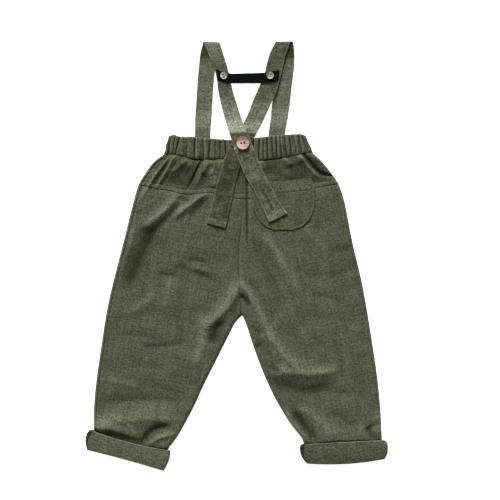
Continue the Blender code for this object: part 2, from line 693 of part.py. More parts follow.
def cuff_ring(row, inset, rim):
    """Flattened ring at one station: a stadium, inset for its inner face."""
    left, right = Vector((row.left, row.left_y)), Vector((row.right, row.right_y))
    along = (right - left).normalized()
    down = Vector((along.y, -along.x))
    span = (right - left).length
    centre_z, radius = row.height / 2, row.height / 2 - inset - rim
    first, last = inset + rim + radius, span - inset - rim - radius
    outline = []
    for k in range(CUFF_END_SIDES):
        angle = -math.pi / 2 + math.pi * k / CUFF_END_SIDES
        outline.append((last + radius * math.cos(angle), centre_z + radius * math.sin(angle)))
    for k in range(CUFF_FLAT_SIDES):
        outline.append((mix(last, first, k / CUFF_FLAT_SIDES), centre_z + radius))
    for k in range(CUFF_END_SIDES):
        angle = math.pi / 2 + math.pi * k / CUFF_END_SIDES
        outline.append((first + radius * math.cos(angle), centre_z + radius * math.sin(angle)))
    for k in range(CUFF_FLAT_SIDES):
        outline.append((mix(first, last, k / CUFF_FLAT_SIDES), centre_z - radius))
    ring = []
    for s, z in outline:
        share = clamp(s / span)
        p = left + along * s - down * row.bow * 4 * share * (1 - share)
        ring.append(Vector((p.x, p.y, z)))
    return ring


def cuff(side):
    """A turn-up: a flattened tube, two layers thick, open at both ends."""
    rows = smooth_rows(CUFFS["cuff_" + side], CUFF_STATIONS)
    rims = [CUFF_RIM if k in (0, CUFF_STATIONS - 1) else 0.0 for k in range(CUFF_STATIONS)]
    outer = [cuff_ring(row, 0.0, rim) for row, rim in zip(rows, rims)]
    inner = [cuff_ring(row, CUFF_WALL, 0.0) for row in rows]
    return ring_wall("cuff_" + side, LINEN, outer + inner[::-1])


# Pocket -----------------------------------------------------------------------------------

def pocket(surfaces):
    """Patch pocket: a sheet on the yoke and the leg, made from the points under it."""
    rows = len(POCKET) - 1

    def plan(i, j):
        row = POCKET[j]
        share = i / POCKET_COLUMNS
        sag = POCKET_TOP_DIP * 4 * share * (1 - share) * (1 - smoothstep(j / 2))
        return mix(row.left, row.right, share), mix(row.left_y, row.right_y, share) - sag

    bed = {}
    for i in range(POCKET_COLUMNS + 1):
        for j in range(rows + 1):
            x, y = plan(i, j)
            bed[i, j] = (x, y, rest_height(surfaces, x, y, 5.5) + GAP)

    def upper(i, j):
        x, y, z = bed[i, j]
        return (x, y, z + CLOTH)

    return wall("pocket_back", LINEN, POCKET_COLUMNS, rows, lambda i, j: bed[i, j], upper)


# Straps and elastic ----------------------------------------------------------------------------

def stations(rows, step):
    """Edge points along a run at even steps, read from smooth curves through its rows."""
    left = smooth_path([(r.left, r.left_y, r.height) for r in rows])
    right = smooth_path([(r.right, r.right_y, r.height) for r in rows])
    length = sum((b - a).length for a, b in zip(left, left[1:]))
    count = max(2, round(length / step))
    return [(at_share(left, k / count), at_share(right, k / count)) for k in range(count + 1)]


def settle(run, surfaces, thick, lanes):
    """Lay a run on what is under it: each lane rises before a support and sinks after it."""
    tracks = []
    for lane in range(lanes):
        share = lane / (lanes - 1)
        points = [left.lerp(right, share) for left, right in run]
        tops = [rest_height(surfaces, p.x, p.y, STRAP_REACH) for p in points]
        needed = [(top + GAP if top > 0.0 else 0.0) + thick / 2 for top in tops]
        for k, p in enumerate(points):
            lifted = max(need - SAG_SLOPE * (points[m] - p).xy.length for m, need in enumerate(needed))
            p.z = max(p.z, lifted)
        tracks.append(points)
    return tracks


def ribbon(name, finish, tracks, thick):
    """A flat strip of even thickness through its lanes."""
    count, lanes = len(tracks[0]), len(tracks)

    def offset(i, j, amount):
        before, after = tracks[i][max(j - 1, 0)], tracks[i][min(j + 1, count - 1)]
        across = tracks[-1][j] - tracks[0][j]
        normal = (after - before).cross(across).normalized()
        return tracks[i][j] + normal * amount

    return wall(name, finish, lanes - 1, count - 1,
                lambda i, j: offset(i, j, -thick / 2), lambda i, j: offset(i, j, thick / 2))


def shoulder_fold(start, end):
    """Stations of the half turn that joins the front run's end to the back run's start."""
    turn = []
    outward = Vector((0.0, (end.z - start.z) / 2, 0.0))
    for k in range(1, FOLD_TURN):
        angle = math.pi * k / FOLD_TURN
        turn.append(start.lerp(end, (1 - math.cos(angle)) / 2) + outward * math.sin(angle))
    return turn


def strap(name, front_surfaces, back_surfaces):
    front, back = STRAP_RUNS[name]
    front_tracks = settle(stations(front, STRAP_STEP), front_surfaces, STRAP, STRAP_LANES)
    back_tracks = settle(stations(back, STRAP_STEP), back_surfaces, STRAP, STRAP_LANES)
    tracks = [up + shoulder_fold(up[-1], down[0]) + down for up, down in zip(front_tracks, back_tracks)]
    return ribbon(name, LINEN_LIGHT, tracks, STRAP)


def cross_band(surfaces):
    tracks = settle(stations(CROSS_BAND, STRAP_STEP), surfaces, ELASTIC, 2)
    return ribbon("cross_band", BLACK_ELASTIC, tracks[::-1], ELASTIC)


# Buttons ----------------------------------------------------------------------------------

def button(spec, surfaces, finish):
    """A turned wooden button with a raised rim and two holes."""
    base = rest_height(surfaces, spec.x, spec.y, spec.radius) + GAP
    profile = ((0.0, 0.0), (spec.radius - BUTTON_RIM, 0.0), (spec.radius, BUTTON_RIM * 0.8),
               (spec.radius, spec.thick - BUTTON_RIM * 0.7), (spec.radius - BUTTON_RIM * 0.6, spec.thick),
               (spec.radius - BUTTON_RIM * 1.6, spec.thick), (spec.radius * 0.55, spec.thick - BUTTON_DISH),
               (0.0, spec.thick - BUTTON_DISH))
    mesh = bmesh.new()
    verts = [mesh.verts.new((r, 0.0, z)) for r, z in profile]
    edges = [mesh.edges.new(pair) for pair in zip(verts, verts[1:])]
    bmesh.ops.spin(mesh, geom=verts + edges, cent=(0, 0, 0), axis=(0, 0, 1), angle=math.tau,
                   steps=BUTTON_SIDES, use_merge=True)
    bmesh.ops.remove_doubles(mesh, verts=mesh.verts[:], dist=0.01)
    bmesh.ops.translate(mesh, vec=(spec.x, spec.y, base), verts=mesh.verts[:])
    item, surface = finished(spec.name, mesh, finish)
    cutter = hole_cutter(spec, base)
    cut = item.modifiers.new("holes", "BOOLEAN")
    cut.operation = "DIFFERENCE"
    cut.solver = "EXACT"
    cut.object = cutter
    return item, surface


def hole_cutter(spec, base):
    """Two upright pins through a button, kept out of the model."""
    mesh = bmesh.new()
    turn = math.radians(spec.turn)
    for way in (-1, 1):
        shift = Vector((math.cos(turn), math.sin(turn), 0.0)) * spec.spread * way
        place = Matrix.Translation(Vector((spec.x, spec.y, base + spec.thick / 2)) + shift)
        bmesh.ops.create_cone(mesh, cap_ends=True, segments=HOLE_SIDES, radius1=spec.hole, radius2=spec.hole,
                              depth=spec.thick + 4.0, matrix=place)
    item, _ = finished(spec.name + "_holes", mesh, LINEN)
    item.hide_render = True
    item.display_type = "WIRE"
    return item


def build():
    clear_scene()
    fronts = [front_leg(side)[1] for side in ("left", "right")]
    fronts.append(waistband_front()[1])
    backs = [yoke(side)[1] for side in ("left", "right")]
    backs += [back_leg(side)[1] for side in ("left", "right")]
    backs.append(waistband_back()[1])
    for side in ("left", "right"):
        cuff(side)
    backs.append(pocket(backs)[1])
    front_run = list(fronts)
    for name in ("strap_right", "strap_left"):
        backs.append(strap(name, front_run, fronts + backs)[1])
    backs.append(cross_band(backs)[1])
    for spec, finish in zip(BUTTONS, (PINK_WOOD, PALE_WOOD, PALE_WOOD)):
        button(spec, backs, finish)


build()
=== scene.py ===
"""Looks of a child's suspender trousers, which lie flat with the back up.

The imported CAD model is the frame. Each cloth piece here is a finer sheet on the form of its
solid, with its seams, gathers, creases, stitching and weave, and it stands for that solid.
Tables and sizes are in millimetres in the drawing's own coordinates, with +Y to the waist and
+Z up, and place_mesh() turns a finished bmesh into metres in the frame's coordinates.
"""

import logging
import math
from dataclasses import dataclass
from enum import Enum
from typing import Iterable, NamedTuple, Optional, Sequence

import bmesh
import bpy
import numpy as np
from mathutils import Matrix, Vector, noise
from mathutils.bvhtree import BVHTree


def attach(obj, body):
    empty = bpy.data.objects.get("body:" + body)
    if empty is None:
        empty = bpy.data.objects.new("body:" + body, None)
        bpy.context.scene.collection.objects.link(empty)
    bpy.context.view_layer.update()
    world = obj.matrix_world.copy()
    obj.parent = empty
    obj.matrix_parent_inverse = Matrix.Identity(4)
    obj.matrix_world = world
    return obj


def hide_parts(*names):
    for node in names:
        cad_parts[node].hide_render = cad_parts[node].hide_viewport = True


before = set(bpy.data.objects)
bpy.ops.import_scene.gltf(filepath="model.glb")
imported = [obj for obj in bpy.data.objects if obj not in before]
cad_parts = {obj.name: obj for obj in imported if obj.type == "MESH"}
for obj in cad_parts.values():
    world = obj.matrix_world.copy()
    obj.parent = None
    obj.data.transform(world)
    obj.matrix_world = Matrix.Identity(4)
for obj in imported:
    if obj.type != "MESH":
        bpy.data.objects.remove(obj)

Array = np.ndarray
Numbers = np.ndarray | float
Pair = tuple[float, float]
Triple = tuple[float, float, float]
Colour = Triple
Surfaces = Sequence[BVHTree]
BMesh = bmesh.types.BMesh
Object = bpy.types.Object
Material = bpy.types.Material
Node = bpy.types.Node
Socket = bpy.types.NodeSocket
Outputs = bpy.types.NodeOutputs

LOG = logging.getLogger("trousers")
BODY = "root"

MM = 0.001
DRAWING_CENTRE = (0.94, -1.26)   # middle of the whole outline in the tables' own coordinates

CLOTH = 1.0                # one layer of the linen
STRAP = 1.6                # a strap is two layers, turned and pressed
ELASTIC = 1.5
GAP = 0.3                  # between neighbouring pieces
EDGE_ROUND = 6.0           # how far in from the outline the back sheet rises
PUFF = 4.0                 # how high the back sheet stands off the front one
LEAST_LOFT = 0.3           # the least gap between the back sheet and the front one
CUFF_ENTRY = 2.3           # how high a front panel lies inside its turn-up
CUFF_RISE = 18.0           # length over which it rises to that
CUFF_CLEAR = 3.0           # how far above the turn-up it has risen
CROTCH_SHARE = 0.43        # share of the side's length above the crotch
FOLD_END = 0.65            # share of a crease's run, from its middle, at which it has gone
FOLD_FADE = 0.35           # share over which it fades
FOLD_CREST = 0.8           # how rounded its crest is

# Outlines, each from the waist down (x, y)
HIP_LEFT = ((-108, 151), (-124, 139), (-137, 121), (-146, 106))
HIP_RIGHT = ((115.5, 153), (130, 139), (144, 121.5), (154, 106.5))
SIDE_LEFT = ((-146, 106), (-154.5, 77), (-168, 22.5), (-190.5, -67.5), (-202.5, -139.5), (-210, -193.5),
             (-213.5, -235), (-213.5, -262), (-216, -277), (-217, -286))
SIDE_RIGHT = ((154, 106.5), (163.5, 76.5), (174, 22.5), (190.5, -49.5), (205.5, -139.5), (213, -193.5),
              (217, -240), (218.6, -275), (220, -288), (219.5, -299))
SEAM_UPPER = ((8, 141), (10.5, 110), (11, 84))
SEAM_LOWER = ((11, 84), (9.5, 55), (5, 15), (4, -20), (6, -55), (9, -90))
INSEAM_LEFT = ((9, -90), (-2, -102), (-12, -121.5), (-30, -157.5), (-48, -193.5), (-64.5, -229.5),
               (-84, -265.5), (-93.5, -280), (-102, -291), (-104.5, -302), (-111, -315))
INSEAM_RIGHT = ((9, -90), (15, -103), (27, -139.5), (40.5, -175.5), (57, -211.5), (78, -247.5),
                (92, -266), (99, -275), (101.5, -284), (103, -296), (111, -307))

# Seams across, each from left to right (x, y)
WAIST_SEAM_LEFT = ((-108, 151), (-92, 150), (-73, 145.5), (-58, 143), (-40, 143), (-18, 143.5), (8, 141))
WAIST_SEAM_RIGHT = ((8, 141), (36, 141.5), (62, 144.5), (88, 148.5), (101, 152), (115.5, 153))
YOKE_SEAM_LEFT = ((-146, 106), (-129, 101), (-99, 96), (-81, 91.5), (-60, 91), (-46, 93), (-33, 92.5),
                  (-3, 85), (11, 84))
YOKE_SEAM_RIGHT = ((11, 84), (35, 85), (60, 88), (90, 93), (116.5, 99.5), (137, 104), (154, 106.5))
FRONT_WAIST_SEAM = ((-108, 151), (-55, 143), (8, 141), (60, 144), (115.5, 153))
WAIST_TOP = ((-101, 178), (-93, 180.5), (-84, 177.5), (-60, 176.5), (-18, 173), (10, 172.5), (30, 175),
             (47, 177.5), (77, 180.3), (98, 181), (105, 178))


class Groove(NamedTuple):
    """One groove between two gathers of the waistband."""

    top: float
    bottom: float
    depth: float


GROOVES = [Groove(*row) for row in (
    (-101, -108, 0.0),
    (-97, -101, 1.2), (-90.5, -95, 1.0), (-84, -91, 1.3), (-74, -74, 1.3), (-61, -62, 1.7),
    (-49.5, -48.5, 1.7), (-38, -40.5, 1.4), (-30, -31, 0.8), (-23, -23.5, 1.1), (-16, -15, 1.4),
    (-6, -7, 0.6), (4, 3, 0.6), (14, 13, 0.6), (25.5, 26, 1.2), (35.5, 34.5, 1.7),
    (40.5, 41.5, 1.0), (46.5, 48, 1.2), (53.5, 56, 1.3), (60, 61.5, 1.7), (66, 68.5, 0.9),
    (72, 76, 1.2), (79.5, 84, 1.1), (86.5, 91, 1.0), (93.5, 98.5, 1.7), (99, 106, 1.1),
    (105, 115.5, 0.0),
)]


class Fold(NamedTuple):
    """A crease from (x0, y0) to (x1, y1), bent by bow, with a half-width on either hand."""

    x0: float
    y0: float
    x1: float
    y1: float
    bow: float
    left: float
    right: float
    height: float

    @property
    def slit(self) -> bool:
        """Whether it is so deep that the cloth folds over itself."""
        return self.height < -2.5

    @property
    def pleat(self) -> bool:
        """Whether it is a narrow raised pleat."""
        return self.height > 0.0 and self.left + self.right < 5.5


MAIN_FOLDS = [Fold(*row) for row in (
    # left yoke: two close pleats at the hip, a sharp slit and its hump
    (-98, 148, -143, 84, -2, 3.2, 1.6, 1.6), (-91, 152, -119, 102, 1, 3, 1.6, 1.6),
    (-99, 141, -128, 98, -1, 1.4, 1.4, -0.8), (-88, 142, -115, 100, 1, 1.4, 1.4, -0.9),
    (-112, 138, -134, 108, 1, 4, 4, 1.0), (-71, 146, -96, 124, 1, 5, 4, 2.0),
    (-73, 130, -97, 104, 0, 13, 13, -1.4), (-50, 145, -72, 101, 0, 1.9, 1.4, -2.6),
    (-43, 143, -60, 103, 0, 4.5, 6, 2.2), (-38, 140, -50, 122, 0, 4, 4, 1.6),
    (-50, 121, -40, 111, 0, 4, 3.4, -0.5), (-36, 128, -31, 102, 0, 7, 7, 2.2),
    # left leg, under the yoke seam
    (-86, 88, -138, 41, 3, 8, 7.5, 4.2), (-82, 80, -140, 22, 3, 7, 10, -2.0),
    (-88, 86, -66, 77, 0, 4, 4, -1.8), (-45, 92, -92, 56, -1, 5.5, 5, 3.8),
    (-40, 86, -67, 57, 0, 7, 8, -1.9),
    # left leg, from the crotch down
    (5, -46, -45, -108, 7, 6.5, 12, 4.3), (-41, -98, -61, -166, 4, 9, 12, 3.4),
    (-24, -98, -38, -134, 0, 9, 9, -3.0), (-90, -20, -30, -42, 4, 7, 8, -2.0),
    (-72, -10, -44, -14, 3, 5, 5, -1.7), (-116, -29, -88, -33, 0, 4, 4.5, -1.4),
    (-66, -22, -40, -28, 2, 5, 5, 1.4), (-95, -39, -108, -82, 0, 9, 9, 1.4),
    (-124, -60, -162, -88, 3, 7, 7, 1.6), (-124, 44, -164, -48, 2, 10, 12, -2.9),
    (-150, 48, -170, -20, 2, 5, 5, 1.6), (-138, -137, -70, -130, -3, 5, 5, -1.3),
    # left leg, gathered above its turn-up
    (-200, -222, -70, -221, 4, 8, 7, -2.0), (-218, -256, -144, -275, 3, 14, 4.5, 2.6),
    (-192, -250, -92, -246, 2, 18, 8, 2.6), (-200, -268, -132, -281, 0, 12, 4, -3.2),
    (-139, -280, -101, -256, 7, 4.6, 5.2, -3.0), (-131, -284, -94, -268, 3, 3.6, 4, 2.5),
    # right yoke: the deep pleat beside the hip and the tube outside it
    (98, 156, 128, 121, -2, 2.6, 2.0, -3.6), (122, 125, 148, 119, -2, 2.2, 2.2, -3.0),
    (93, 154, 124, 116, -2, 2.2, 2.6, 2.0), (106, 154, 145, 124, 4, 5, 4.5, 3.2),
    (100, 142, 113, 120, 0, 10, 9, -1.7), (44, 140, 50, 114, 0, 10, 9, -1.7),
    (70, 145, 83, 134, 0, 4, 4, 1.6), (64, 134, 86, 116, -3, 6, 6, 1.6), (36, 140, 41, 128, 0, 4, 4, 1.5),
    # beside the centre seam, and the right leg
    (15.5, 138, 17, 22, 0, 1.7, 1.7, -3.4), (23, 100, 23, 26, 0, 3.5, 5, 1.4),
    (40, 30, 98, -62, 3, 6, 7, 2.6), (30, 12, 64, -74, 2, 8, 8, -2.3), (8, -60, 21, -77, 0, 4, 3.4, -3.2),
    (22, -108, 40, -120, 0, 4, 4, -1.6), (36, -140, 60, -150, 0, 5, 5, 1.6),
    (50, -168, 66, -176, 0, 4, 4, -1.6), (4, -38, 50, -121, 3, 6, 5.5, 3.8),
    (48, -117, 95, -172, -4, 8, 7, 4.4), (60, -172, 150, -172, -6, 9, 8, 3.4),
    (50, -184, 142, -196, -11, 8, 11, -2.6), (31, -135, 54, -152, 0, 6, 6, -2.4),
    (174, 12, 140, 4, 2, 7, 7, -1.4), (181, -18, 138, -34, 2, 7, 7, -1.5),
    # right leg, gathered above its turn-up
    (72, -235, 107, -278, 0, 4, 4, 2.8), (86, -235, 121, -281, 0, 6.5, 5.5, -3.4),
    (98, -230, 146, -272, 3, 9, 9, 2.8), (197, -259, 207, -278, 0, 5, 5, -3.0),
    (220, -250, 197, -261, 0, 4, 4, -1.7), (211, -236, 214, -270, 0, 4, 4, 1.8),
)]

FINE_FOLDS = [Fold(*row) for row in (
    # small creases that are too narrow for the solids
    (-104, 141, -132, 101, -1, 1.6, 1.6, 0.7), (-64, 140, -78, 121, 0, 2.2, 2.2, 0.6),
    (-31, 141, -36, 121, 1, 2.4, 2.4, 0.8), (-22, 142, -25, 127, 0, 2.2, 2.2, 0.6),
    (-108, 92, -150, 66, 2, 3, 3, 0.6), (-118, 52, -150, 14, 0, 4, 4, 0.8),
    (-60, 72, -84, 40, 0, 4, 4, 0.8), (-33, 70, -50, 20, 2, 5, 5, 0.7), (-12, 66, -17, 10, 0, 4, 4, -0.7),
    (-70, 22, -96, -22, 2, 5, 5, 0.6), (-150, -32, -130, -74, 0, 5, 5, -0.7),
    (-100, -92, -60, -104, 0, 4, 4, -0.7), (-172, -118, -120, -128, 2, 4, 4, -0.8),
    (-92, -146, -62, -158, 0, 4, 4, 0.6), (-160, -168, -110, -172, 2, 5, 5, -0.7),
    (-196, -186, -150, -196, 0, 5, 5, 0.8), (-120, -196, -74, -208, -2, 5, 5, -0.8),
    (-190, -240, -150, -262, 2, 3, 3, 0.9), (-168, -246, -140, -270, 0, 3, 3, -0.9),
    (30, 6, 74, -62, 3, 3, 3, 0.8), (52, -10, 92, -84, 2, 3, 3, -0.7), (20, -40, 58, -100, 2, 3, 3, -0.8),
    (72, -70, 104, -130, 2, 3.5, 3.5, 0.8), (100, 40, 136, 6, 0, 5, 5, 0.7),
    (120, -60, 160, -74, 2, 4, 4, -0.7), (150, -104, 192, -116, 0, 4, 4, 0.7),
    (110, -120, 140, -150, 2, 4, 4, -0.7), (130, -206, 190, -214, 3, 5, 5, -0.8),
    (84, -208, 118, -222, 0, 4, 4, 0.9), (140, -236, 176, -262, 3, 5, 5, -0.9),
    (176, -240, 192, -270, 0, 4, 4, 0.8),
)]
POCKET_CENTRE = (68, 78)
POCKET_REACH = (49, 42)
POCKET_CALM = 0.7


class PocketRow(NamedTuple):
    """Both edges of the pocket at one height."""

    left: float
    left_y: float
    right: float
    right_y: float


POCKET_ROWS = [PocketRow(*row) for row in (
    (19, 110.5, 111.5, 115.5), (18.5, 100, 116.5, 103), (20.5, 88.5, 117.5, 89), (24.5, 74, 117, 73),
    (31, 58.5, 112.5, 58.5), (38, 48.5, 105.5, 48.5), (46, 42, 96, 41.5), (56, 38, 85, 37.5),
)]


class CuffRow(NamedTuple):
    """Both ends of a turn-up at one station, its bow and its outer height."""

    left: float
    left_y: float
    right: float
    right_y: float
    bow: float
    height: float


CUFFS = {
    "left": [CuffRow(*row) for row in (
        (-218.5, -261, -98, -292.5, -3.5, 9.0), (-223.5, -267.5, -98.5, -298, -2.5, 8.8),
        (-225.5, -279, -101, -309, -0.5, 8.0), (-223, -291.5, -108, -323, 1.0, 7.2),
    )],
    "right": [CuffRow(*row) for row in (
        (97, -283.5, 223.5, -277, 0.5, 9.0), (95.5, -289, 227, -283, -0.5, 8.8),
        (97.5, -300.5, 227, -295.5, -2.5, 8.0), (106, -312, 223, -305, -4.0, 7.2),
    )],
}


class StrapRow(NamedTuple):
    """Both edges of a strap or band at one station, and its height where nothing carries it."""

    left: float
    left_y: float
    right: float
    right_y: float
    height: float


STRAP_RUNS = {
    "strap_right": (
        [StrapRow(*row) for row in (
            (48, 153, 72.5, 153, 0.8), (48.5, 180, 73, 180, 0.8), (51.5, 202, 77, 202, 0.8),
            (54, 225, 80.5, 225, 0.8), (58, 252, 83.5, 252, 0.8), (61.5, 283, 87.3, 283, 0.8),
            (61.5, 304, 87.3, 304, 0.8), (60, 317, 86, 317.5, 0.8),
        )],
        [StrapRow(*row) for row in (
            (58.5, 317, 81, 317.5, 4.8), (51.5, 304, 75.5, 303, 4.6), (46.5, 288, 71.5, 287, 4.4),
            (42, 269, 66.5, 265, 4.4), (34, 250, 60, 243, 4.4), (27, 235, 51, 223.5, 4.8),
            (18, 211.5, 41.5, 202.5, 5.6), (7, 190, 33, 186, 6.4), (-6, 169, 20.5, 163, 0),
            (-14.5, 152, 11, 143, 0), (-21, 134, 4.8, 128, 0), (-28, 108, -2, 103, 0),
            (-34.3, 83, -7, 78, 0), (-40.5, 60, -12, 56, 0), (-44, 47.5, -16.2, 40, 0),
        )],
    ),
    "strap_left": (
        [StrapRow(*row) for row in (
            (-62.5, 153, -38, 153, 0.8), (-61.5, 180, -38.5, 180, 0.8), (-61.5, 202, -37, 202, 0.8),
            (-60, 225, -35.5, 225, 0.8), (-58.3, 252, -34, 252, 0.8), (-55.8, 283, -31, 283, 0.8),
            (-53, 304, -28.5, 304, 0.8), (-49.5, 317.5, -25, 316.5, 0.8),
        )],
        [StrapRow(*row) for row in (
            (-47, 317, -23.5, 316, 4.8), (-42, 303, -20, 304, 4.6), (-36, 289, -16, 292, 4.4),
            (-30, 270, -10.8, 273, 4.4), (-26.5, 245, -5.5, 248, 4.4), (-21.5, 222, 1.5, 226, 4.8),
            (-15.5, 200, 8, 205, 6.6), (-8.5, 178, 16, 184, 9.0), (-1.7, 157, 24, 166, 0),
            (6, 136, 32.8, 143, 0), (15, 116, 42.7, 121.5, 0), (28, 94, 54, 99.5, 0),
            (40, 70, 66, 78, 0), (49.5, 48.5, 77, 62, 0),
        )],
    ),
}

CROSS_BAND = [StrapRow(*row) for row in (
    (-30, 277.5, -28, 262.5, 5.6), (-18, 273.5, -16.5, 259, 5.6), (-7, 271.5, -6.5, 257, 5.6),
    (17, 272, 17, 257, 5.6), (38, 272.5, 37, 257, 5.6), (50, 273.8, 49, 258.5, 5.6),
    (64.5, 276.6, 63, 261, 5.6),
)]


class Side(Enum):
    """The two halves of the garment, as they lie."""

    LEFT = "left"
    RIGHT = "right"


class Held(Enum):
    LAID = "laid"
    GATHERED = "gathered"
    FOLDED = "folded"
    STRETCHED = "stretched"


# Curves and numbers -------------------------------------------------------------------------

class Line(NamedTuple):
    """A soft line beside something: how far off it lies, its half-width and what it adds."""

    place: float
    width: float
    adds: float


class Ramp(NamedTuple):
    """A soft step along something: where it starts and ends, and what it adds past its end."""

    start: float
    end: float
    adds: float


class Dents(NamedTuple):
    """Soft uneven dents: what they add, their size, their scale along y and their seed."""

    adds: float
    size: float
    along: float
    seed: float


Lines = tuple[Line, ...]
Ramps = tuple[Ramp, ...]
Rough = tuple[Dents, ...]


def smoothstep(value: Numbers) -> Numbers:
    """Ease from 0 to 1 over the range 0 to 1."""
    t = np.clip(value, 0.0, 1.0)
    return t * t * (3.0 - 2.0 * t)


def bell(value: Numbers, place: float, width: float) -> Numbers:
    """1 at a place, fading to 0 on either hand."""
    return np.exp(-((value - place) / width) ** 2)


def mix(a: Numbers, b: Numbers, share: Numbers) -> Numbers:
    """Blend from a to b."""
    return a + (b - a) * share


def bow(share: Numbers, depth: float) -> Numbers:
    """0 at both ends of a run, and the depth in its middle."""
    return depth * 4 * share * (1 - share)


def lines(value: Numbers, table: Iterable[Line]) -> Numbers:
    """What all lines of a table add at each value."""
    return sum(line.adds * bell(value, line.place, line.width) for line in table)


def ramps(value: Numbers, table: Iterable[Ramp]) -> Numbers:
    """What all ramps of a table add at each value."""
    return sum(ramp.adds * smoothstep((value - ramp.start) / (ramp.end - ramp.start)) for ramp in table)


def uneven(x: Array, y: Array, size: float, seed: float) -> Array:
    """Soft uneven dents of about the given size, between -1 and 1."""
    flat = np.stack([np.ravel(x) / size, np.ravel(y) / size], axis=-1)
    values = [noise.noise(Vector((u, v, seed))) for u, v in flat]
    return np.array(values).reshape(np.shape(x))


def dented(x: Array, y: Array, table: Iterable[Dents]) -> Array:
    """What all dents of a table add at each (x, y)."""
    return sum(dents.adds * uneven(x, dents.along * y, dents.size, dents.seed) for dents in table)


def spline(a: Array, b: Array, c: Array, d: Array, t: Numbers) -> Array:
    """The Catmull-Rom curve between the knots b and c, at shares t of the way."""
    cubic = 3 * b - a - 3 * c + d
    square = 2 * a - 5 * b + 4 * c - d
    return 0.5 * (2 * b + (c - a) * t + square * t ** 2 + cubic * t ** 3)


def smooth_path(points: Sequence[Sequence[float]], per_span: int = 10) -> Array:
    """Trace a smooth curve through the given points.

    Args:
        points: The knots, in order.
        per_span: Steps between two knots.

    Returns:
        The curve's points, one a row.
    """
    knots = np.array(points, dtype=float)
    knots = np.vstack([2 * knots[0] - knots[1], knots, 2 * knots[-1] - knots[-2]])
    t = (np.arange(per_span) / per_span)[:, None]
    spans = [spline(a, b, c, d, t) for a, b, c, d in zip(knots, knots[1:], knots[2:], knots[3:])]
    return np.vstack(spans + [knots[-2]])


def smooth_rows(table: Sequence[tuple], count: int) -> Array:
    """Rows spaced evenly along a table, with each column read from a smooth curve."""
    knots = np.array(table, dtype=float)
    knots = np.vstack([knots[0], knots, knots[-1]])
    rows = []
    for place in np.linspace(0.0, len(table) - 1, count):
        first = min(int(place), len(table) - 2)
        rows.append(spline(*knots[first:first + 4], place - first))
    return np.array(rows)


def run_along(path: Array) -> Array:
    """Distance along a path to each of its points."""
    steps = np.linalg.norm(np.diff(path, axis=0), axis=-1)
    return np.concatenate([[0.0], np.cumsum(steps)])


def at_share(path: Array, share: Numbers) -> Array:
    """Find the points at shares of a path's length in plan.

    Args:
        path: The path's points.
        share: Shares of its length, of any shape.

    Returns:
        An array of the shape of share with one more axis, for the coordinates.
    """
    run = run_along(path[:, :2])
    place = np.clip(share, 0.0, 1.0) * run[-1]
    return np.stack([np.interp(place, run, path[:, k]) for k in range(path.shape[1])], axis=-1)


def y_on(path: Array, x: Array) -> Array:
    """y of a path that runs from left to right, at each x."""
    return np.interp(x, path[:, 0], path[:, 1])


def distance_to(path: Array, x: Array, y: Array) -> Array:
    """Distance from each (x, y) to the nearest stretch of a path."""
    best = np.full(np.shape(x), np.inf)
    for (ax, ay), (bx, by) in zip(path[:, :2], path[1:, :2]):
        dx, dy = bx - ax, by - ay
        t = np.clip(((x - ax) * dx + (y - ay) * dy) / (dx * dx + dy * dy), 0.0, 1.0)
        best = np.minimum(best, np.hypot(x - ax - dx * t, y - ay - dy * t))
    return best


def rise_from_edge(distance: Array, reach: float) -> Array:
    """0 at an edge, 1 beyond its reach, rising in a quarter circle."""
    t = np.clip(distance / reach, 0.0, 1.0)
    return np.sqrt(np.maximum(0.0, 1.0 - (1.0 - t) ** 2))


# The lie of the cloth -----------------------------------------------------------------------

WAIST_LINE = smooth_path(WAIST_TOP)
WAIST_SEAM = smooth_path(WAIST_SEAM_LEFT + WAIST_SEAM_RIGHT[1:])
FRONT_SEAM = smooth_path(FRONT_WAIST_SEAM) - (0.0, 2.2)   # hidden, lower than the back's seam
CENTRE = smooth_path(SEAM_UPPER + SEAM_LOWER[1:], 6)
SIDE_PATHS = {
    Side.LEFT: smooth_path(HIP_LEFT + SIDE_LEFT[1:], 6),
    Side.RIGHT: smooth_path(HIP_RIGHT + SIDE_RIGHT[1:], 6),
}
INSEAM_PATHS = {Side.LEFT: smooth_path(INSEAM_LEFT, 6), Side.RIGHT: smooth_path(INSEAM_RIGHT, 6)}
YOKE_SEAMS = {Side.LEFT: smooth_path(YOKE_SEAM_LEFT), Side.RIGHT: smooth_path(YOKE_SEAM_RIGHT)}


def fold_height(folds: Iterable[Fold], x: Array, y: Array) -> Array:
    """Height that some creases add together at each (x, y)."""
    total = np.zeros(np.shape(x))
    for fold in folds:
        run_x, run_y = fold.x1 - fold.x0, fold.y1 - fold.y0
        length = math.hypot(run_x, run_y)
        along = ((x - fold.x0) * run_x + (y - fold.y0) * run_y) / length ** 2
        across = ((y - fold.y0) * run_x - (x - fold.x0) * run_y) / length - bow(along, fold.bow)
        width = np.where(across > 0, fold.left, fold.right)
        fade = smoothstep((FOLD_END - np.abs(along - 0.5)) / FOLD_FADE)
        total += fold.height * fade * np.exp(-np.power((across / width) ** 2 + 0.01, FOLD_CREST))
    return total


def above_cuff(side: Side, x: Array, y: Array) -> Array:
    """Height of each (x, y) above the open edge of a leg's turn-up."""
    top = CUFFS[side.value][0]
    run_x, run_y = top.right - top.left, top.right_y - top.left_y
    length = math.hypot(run_x, run_y)
    above = (run_x * (y - top.left_y) - run_y * (x - top.left)) / length
    share = np.clip(((x - top.left) * run_x + (y - top.left_y) * run_y) / length ** 2, 0.0, 1.0)
    return above - bow(share, top.bow)


def into_cuff(side: Side, x: Array, y: Array) -> Array:
    """0 on the open leg, 1 where it lies inside its turn-up."""
    return smoothstep((CUFF_RISE + CUFF_CLEAR - above_cuff(side, x, y)) / CUFF_RISE)


